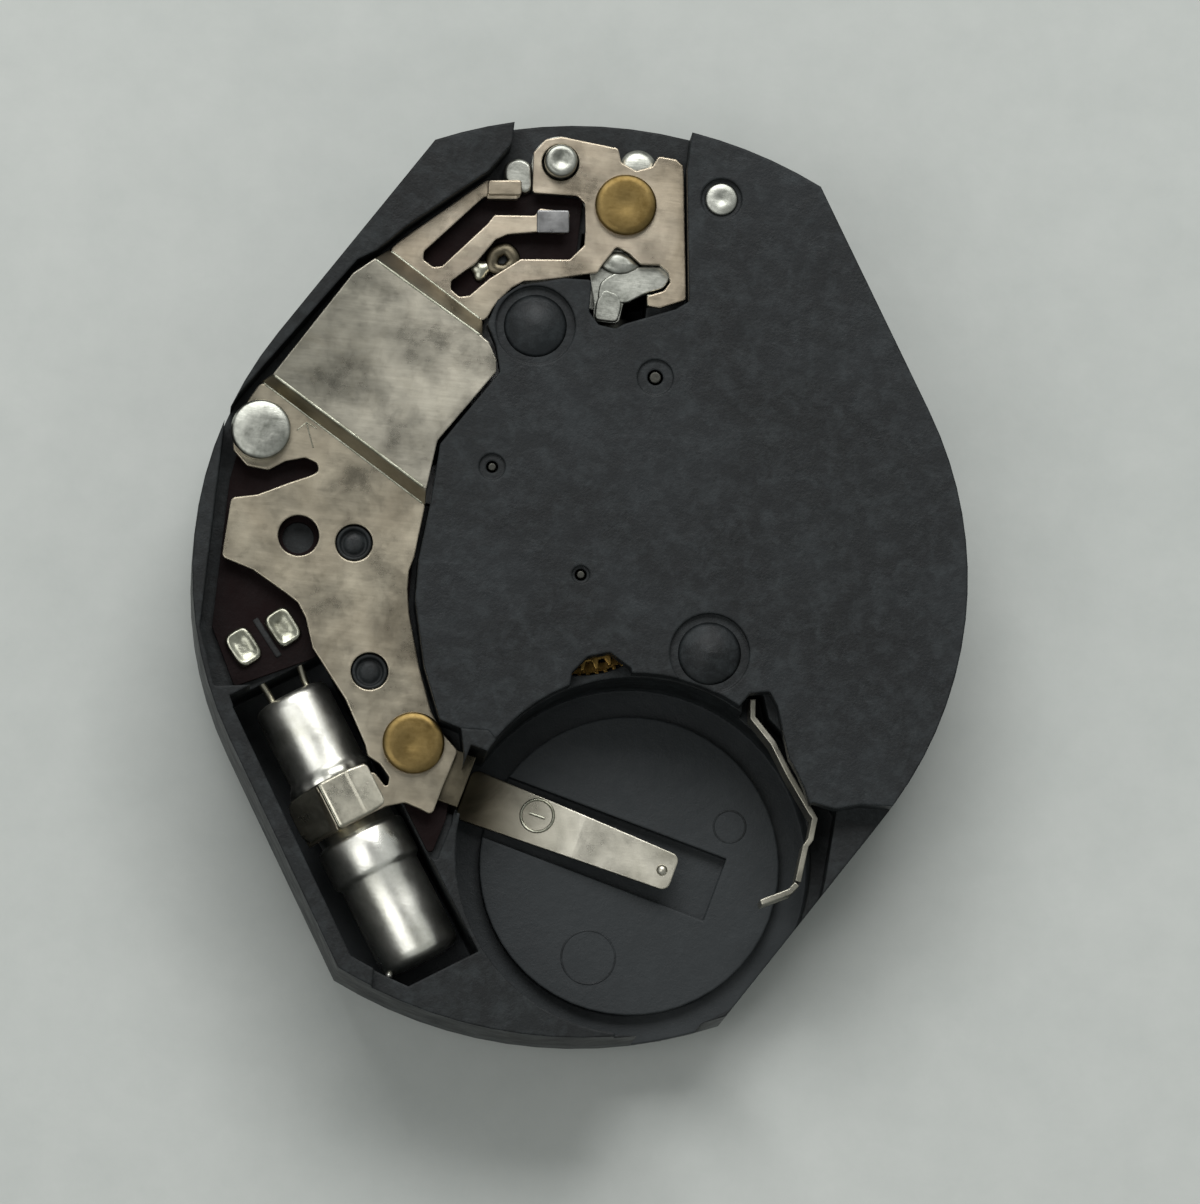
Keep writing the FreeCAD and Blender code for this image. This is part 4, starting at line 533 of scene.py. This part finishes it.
# Painted highlights: rods half sunk along the folds, in the brighter solder metal.
line_piece("cover_fold_highlights", fold_highlight_runs, FOLD_RADIUS, "frame", "cover", material=MATERIALS["solder"])
ARROW_HEIGHT = 2.096
line_piece("stamped_arrow", [
    [(-4.76, 2.01, ARROW_HEIGHT), (-4.66, 1.75, ARROW_HEIGHT), (-4.60, 1.60, ARROW_HEIGHT)],
    [(-4.90, 1.86, ARROW_HEIGHT), (-4.76, 2.01, ARROW_HEIGHT), (-4.58, 1.93, ARROW_HEIGHT)],
], 0.011, "frame", "cover", material=MATERIALS["solder"])
flat_piece("arm_end", box_outline((-1.97, 6.29), 0.56, 0.24, PICTURE_TURN), 2.06, 2.17, "frame", "cover",
           corner=0.04)
flat_piece("arm_end_lip", box_outline((-1.99, 6.15), 0.52, 0.10, PICTURE_TURN), 1.96, 2.13, "frame", "cover",
           corner=0.03)
flat_piece("spring_end", [(-2.02, 6.74), (-1.78, 6.86), (-1.56, 6.78), (-1.50, 6.35), (-1.62, 6.26),
                          (-1.98, 6.42)], 1.72, 1.95, "frame", "steel", corner=0.16, edge=0.05)
flat_piece("arm_plate", box_outline((-1.11, 5.83), 0.54, 0.38, PICTURE_TURN), 2.09, 2.125, "frame", "core",
           corner=0.04)
flat_piece("cover_lug", box_outline((0.64, 4.72), 0.12, 0.20, PICTURE_TURN), 1.90, 2.09, "frame", "solder",
           corner=0.02)
lathe("guide_button", [(0, 1.70), (0.30, 1.70), (0.31, 1.90), (0.29, 1.94), (0.20, 1.965), (0, 1.975)],
      (0.19, 6.92, 0), "frame", "steel")

# Yoke's pivot and the lever's parts that show in the cover's openings
# The yoke ring uses the strip's material, which at its place gives the painted shade colour of the strip's
# root.
lathe("yoke_ring", [(0.07, 1.84), (0.27, 1.84), (0.285, 1.875), (0.26, 1.905), (0.12, 1.91), (0.07, 1.88),
                    (0.07, 1.84)], (-1.86, 5.13, 0), "yoke", "steel", material=MATERIALS["spring"],
      wobble=lambda along, angle: 0.010 * math.sin(2 * angle) + 0.006 * math.sin(5 * angle + 1))
lathe("board_blob", [(0, 1.82), (0.19, 1.82), (0.17, 1.87), (0.10, 1.90), (0, 1.905)],
      (-2.20, 4.93, 0), "frame", "solder", wobble=lambda along, angle: 0.03 * math.sin(3 * angle))
flat_piece("lever_arm", [(-0.22, 4.95), (-0.24, 4.66), (0.24, 4.64), (0.58, 4.86), (0.86, 4.98),
                         (0.95, 5.20), (0.84, 5.34), (0.40, 5.30), (0.00, 5.14)],
           1.84, 1.925, "lever", "steel", corner=0.08, edge=0.03)
flat_piece("lever_foot_plate", [(-0.25, 4.62), (-0.25, 4.31), (0.14, 4.31), (0.19, 4.62), (0.10, 4.80),
                                (-0.15, 4.85)], 1.88, 1.93, "lever", "steel", corner=0.08, edge=0.03)


def lever_point():
    """The lever's domed point, a drop that fills the cover's opening."""
    build = bmesh.new()
    around = 36
    rings = []
    for scale, height in ((1.0, 1.90), (1.0, 1.92), (0.93, 1.94), (0.75, 1.96), (0.45, 1.97)):
        ring = []
        for i in range(around):
            angle = 2 * math.pi * i / around
            narrow = 1 - 0.45 * max(0.0, math.cos(angle)) ** 2
            x = 0.06 + 0.34 * scale * math.cos(angle)
            y = 5.30 + 0.19 * scale * narrow * math.sin(angle)
            ring.append(build.verts.new((x, y, height)))
        rings.append(ring)
    skin(build, rings)
    piece("lever_point", as_mesh("lever_point", build), "lever", "steel")


lever_point()

# Turned pins
lathe("brass_pins_turned", [(0, 1.50), (0.20, 1.50), (0.20, 2.10), (0.505, 2.10), (0.51, 2.18),
                            (0.50, 2.215), (0.47, 2.238), (0.38, 2.243), (0.16, 2.246), (0.10, 2.238),
                            (0, 2.236)], [(0.05, 6.24, 0), (-2.40, -3.06, 0)], "frame", "brass",
      stands_for=("brass_pins",))
lathe("module_stud_turned", [(0, 1.30), (0.27, 1.30), (0.27, 2.10), (0.48, 2.10), (0.49, 2.14),
                             (0.49, 2.29), (0.475, 2.322), (0.44, 2.338), (0.20, 2.334), (0, 2.330)],
      (-5.49, 1.78, 0), "frame", "steel", stands_for=("module_stud",))
lathe("lever_stud_turned", [(0, 1.30), (0.27, 1.30), (0.27, 2.28), (0.255, 2.325), (0.22, 2.345),
                            (0.12, 2.335), (0.07, 2.310), (0, 2.305)], (-1.10, 6.83, 0), "frame", "steel",
      stands_for=("setting_lever_stud",))
lathe("bridge_pin_turned", [(0, 1.30), (0.27, 1.30), (0.27, 2.385), (0.26, 2.415), (0.235, 2.428),
                            (0.10, 2.424), (0.05, 2.410), (0, 2.408)], (1.60, 6.49, 0), "frame", "steel",
      stands_for=("bridge_pin",))

lathe("pegs_dished", [(0, 1.50), (0.30, 1.50), (0.30, 2.01), (0.285, 2.045), (0.25, 2.055), (0.225, 2.02),
                      (0.215, 1.96), (0.19, 1.95), (0.17, 1.985), (0.10, 2.0), (0, 2.0)],
      [(-3.75, 0.12, 0), (-3.25, -1.96, 0)], "frame", "plate", stands_for=("cover_pegs",))

# Edge light along the lower rim
RIM = [(-3.14, -6.62), (-2.71, -6.90), (-2.06, -7.13), (-1.38, -7.32), (-0.37, -7.47), (0.61, -7.44)]
RIM_HEIGHT = 0.42
line_piece("rim_sheen", [[(x, y, RIM_HEIGHT) for x, y in RIM]], 0.035, "frame", "plate",
           material=MATERIALS["core"])

# Negative strip: polarity mark; cavity floor: moulding marks
STRIP_ROOT = Vector((-1.62, -3.62, 0))
STRIP_ANGLE = math.radians(-14)


def on_strip(along, aside):
    """A point on the arm's upper face, which rises at two slopes."""
    start, knee, first_run, second_run = 0.17, 2.2, 2.03, 1.68
    first_rise, second_rise, low, thickness = 0.29, 0.14, 0.33, 0.09
    x, y = math.cos(STRIP_ANGLE), math.sin(STRIP_ANGLE)
    rise = (first_rise * min(along - start, first_run) / first_run
            + second_rise * max(along - knee, 0) / second_run)
    return STRIP_ROOT + Vector((along * x - aside * y, along * y + aside * x, low + rise + thickness))


MARK_ALONG, MARK_ASIDE, MARK_RADIUS, BAR_HALF = 1.435, 0.14, 0.27, 0.135
mark = [on_strip(MARK_ALONG + MARK_RADIUS * math.cos(math.radians(a)),
                 MARK_ASIDE + MARK_RADIUS * math.sin(math.radians(a))) for a in range(0, 361, 12)]
bar = [on_strip(MARK_ALONG - BAR_HALF, MARK_ASIDE), on_strip(MARK_ALONG + BAR_HALF, MARK_ASIDE)]
line_piece("polarity_mark", [mark, bar], 0.026, "negative_arm", "spring", material=MATERIALS["solder"])
lathe("strip_end_bump", [(0, -0.03), (0.10, -0.02), (0.08, 0.03), (0, 0.05)], tuple(on_strip(3.68, 0.0)),
      "negative_arm", "spring")
for number, (x, y, radius) in enumerate(((0.917, -6.054, 0.46), (2.999, -3.618, 0.28))):
    lathe(f"ejector_mark_{number}", [(radius - 0.035, 0.447), (radius - 0.03, 0.455), (radius - 0.015, 0.459),
                                     (radius, 0.455), (radius + 0.005, 0.447)],
          (x, y, 0), "frame", "plate", material=MATERIALS["bridge"])


# Floor: pale matte paper with faint creases
def floor():
    shader = Shader("floor_paper")
    cloud = shader.noise(0.06, detail=4)
    fibre = shader.noise(0.9, detail=5, rough=0.7)
    sheet = shader.ramp(cloud, (0.3, colour(190, 194, 190)), (0.7, colour(200, 203, 199)))
    hairs = shader.ramp(fibre, (0.3, colour(176, 181, 177)), (0.7, colour(198, 201, 197)))
    shader.colour(shader.mix(0.3, sheet, hairs))
    shader.bumps((shader.noise(0.35, detail=5), 0.35, 0.10), (shader.noise(0.05, detail=3), 0.5, 1.2))
    shader.set(Roughness=0.85)
    bpy.ops.mesh.primitive_grid_add(x_subdivisions=8, y_subdivisions=8, size=0.4,
                                    location=(0, 0, FLOOR * MM))
    item = bpy.context.object
    item.name = "floor"
    item.data.materials.append(shader.material)


floor()


# Light: an overcast room, brighter towards the top of the picture
world = bpy.data.worlds.new("room")
scene.world = world
world.use_nodes = True
tree = world.node_tree
background = tree.nodes["Background"]
background.inputs["Color"].default_value = (0.93, 0.97, 0.95, 1)
background.inputs["Strength"].default_value = 0.355


def area_light(name, place, size, power):
    """A lamp at place, turned to the part's middle."""
    data = bpy.data.lights.new(name, "AREA")
    data.shape = "RECTANGLE"
    data.size = size[0] * MM
    data.size_y = size[1] * MM
    data.energy = power
    lamp = bpy.data.objects.new(name, data)
    lamp.location = Vector(place) * MM
    lamp.rotation_euler = (-Vector(place)).to_track_quat("-Z", "Y").to_euler()
    scene.collection.objects.link(lamp)


PHOTO_TURN = math.radians(PICTURE_TURN)
ACROSS = Vector((math.cos(PHOTO_TURN), math.sin(PHOTO_TURN), 0))
UP = Vector((-math.sin(PHOTO_TURN), math.cos(PHOTO_TURN), 0))


def in_photo(across, up, height):
    """A point in mm, from directions across and up the picture."""
    return ACROSS * across + UP * up + Vector((0, 0, height))


area_light("window", in_photo(0, 120, 150), (150, 90), 0.27)
area_light("ceiling", in_photo(-75, -30, 180), (70, 110), 0.05)


# A dark card over the object, which flat metal shows
def dark_card():
    half_width, half_length, corner = 34, 46, 18
    shader = Shader("card_dark")
    shader.colour(shader.ramp(shader.noise(0.02, detail=2), (0.3, colour(40, 42, 42)),
                              (0.7, colour(58, 60, 60))))
    shader.set(Roughness=0.9, Specular_IOR_Level=0.1)
    build = bmesh.new()
    centre = in_photo(9, 24, 178)
    outline = round_corners([centre + ACROSS * (a * half_width) + UP * (b * half_length)
                             for a, b in ((-1, -1), (1, -1), (1, 1), (-1, 1))], corner, steps=8)
    build.faces.new([build.verts.new(point) for point in outline])
    item = bpy.data.objects.new("card", as_mesh("card", build, smooth=False))
    item.data.materials.append(shader.material)
    scene.collection.objects.link(item)


dark_card()


# Camera: almost straight down, leaning a little towards the lower edge of the picture
DISTANCE = 160.0
SENSOR = 36.0
VIEW_WIDTH = 19.67
lean = (ACROSS * -0.054 + UP * -0.131 + Vector((0, 0, 1))).normalized()
target = in_photo(0.311, -0.464, 2.5)
right = UP.cross(lean).normalized()
above = lean.cross(right)
camera_data = bpy.data.cameras.new("camera")
camera_data.sensor_fit = "HORIZONTAL"
camera_data.sensor_width = SENSOR
camera_data.lens = SENSOR * DISTANCE / VIEW_WIDTH
camera_data.clip_start = 0.01
camera_data.clip_end = 1.0
camera = bpy.data.objects.new("camera", camera_data)
camera.matrix_world = Matrix((
    (right.x, above.x, lean.x, (target + lean * DISTANCE).x * MM),
    (right.y, above.y, lean.y, (target + lean * DISTANCE).y * MM),
    (right.z, above.z, lean.z, (target + lean * DISTANCE).z * MM),
    (0, 0, 0, 1),
))
scene.collection.objects.link(camera)
scene.camera = camera
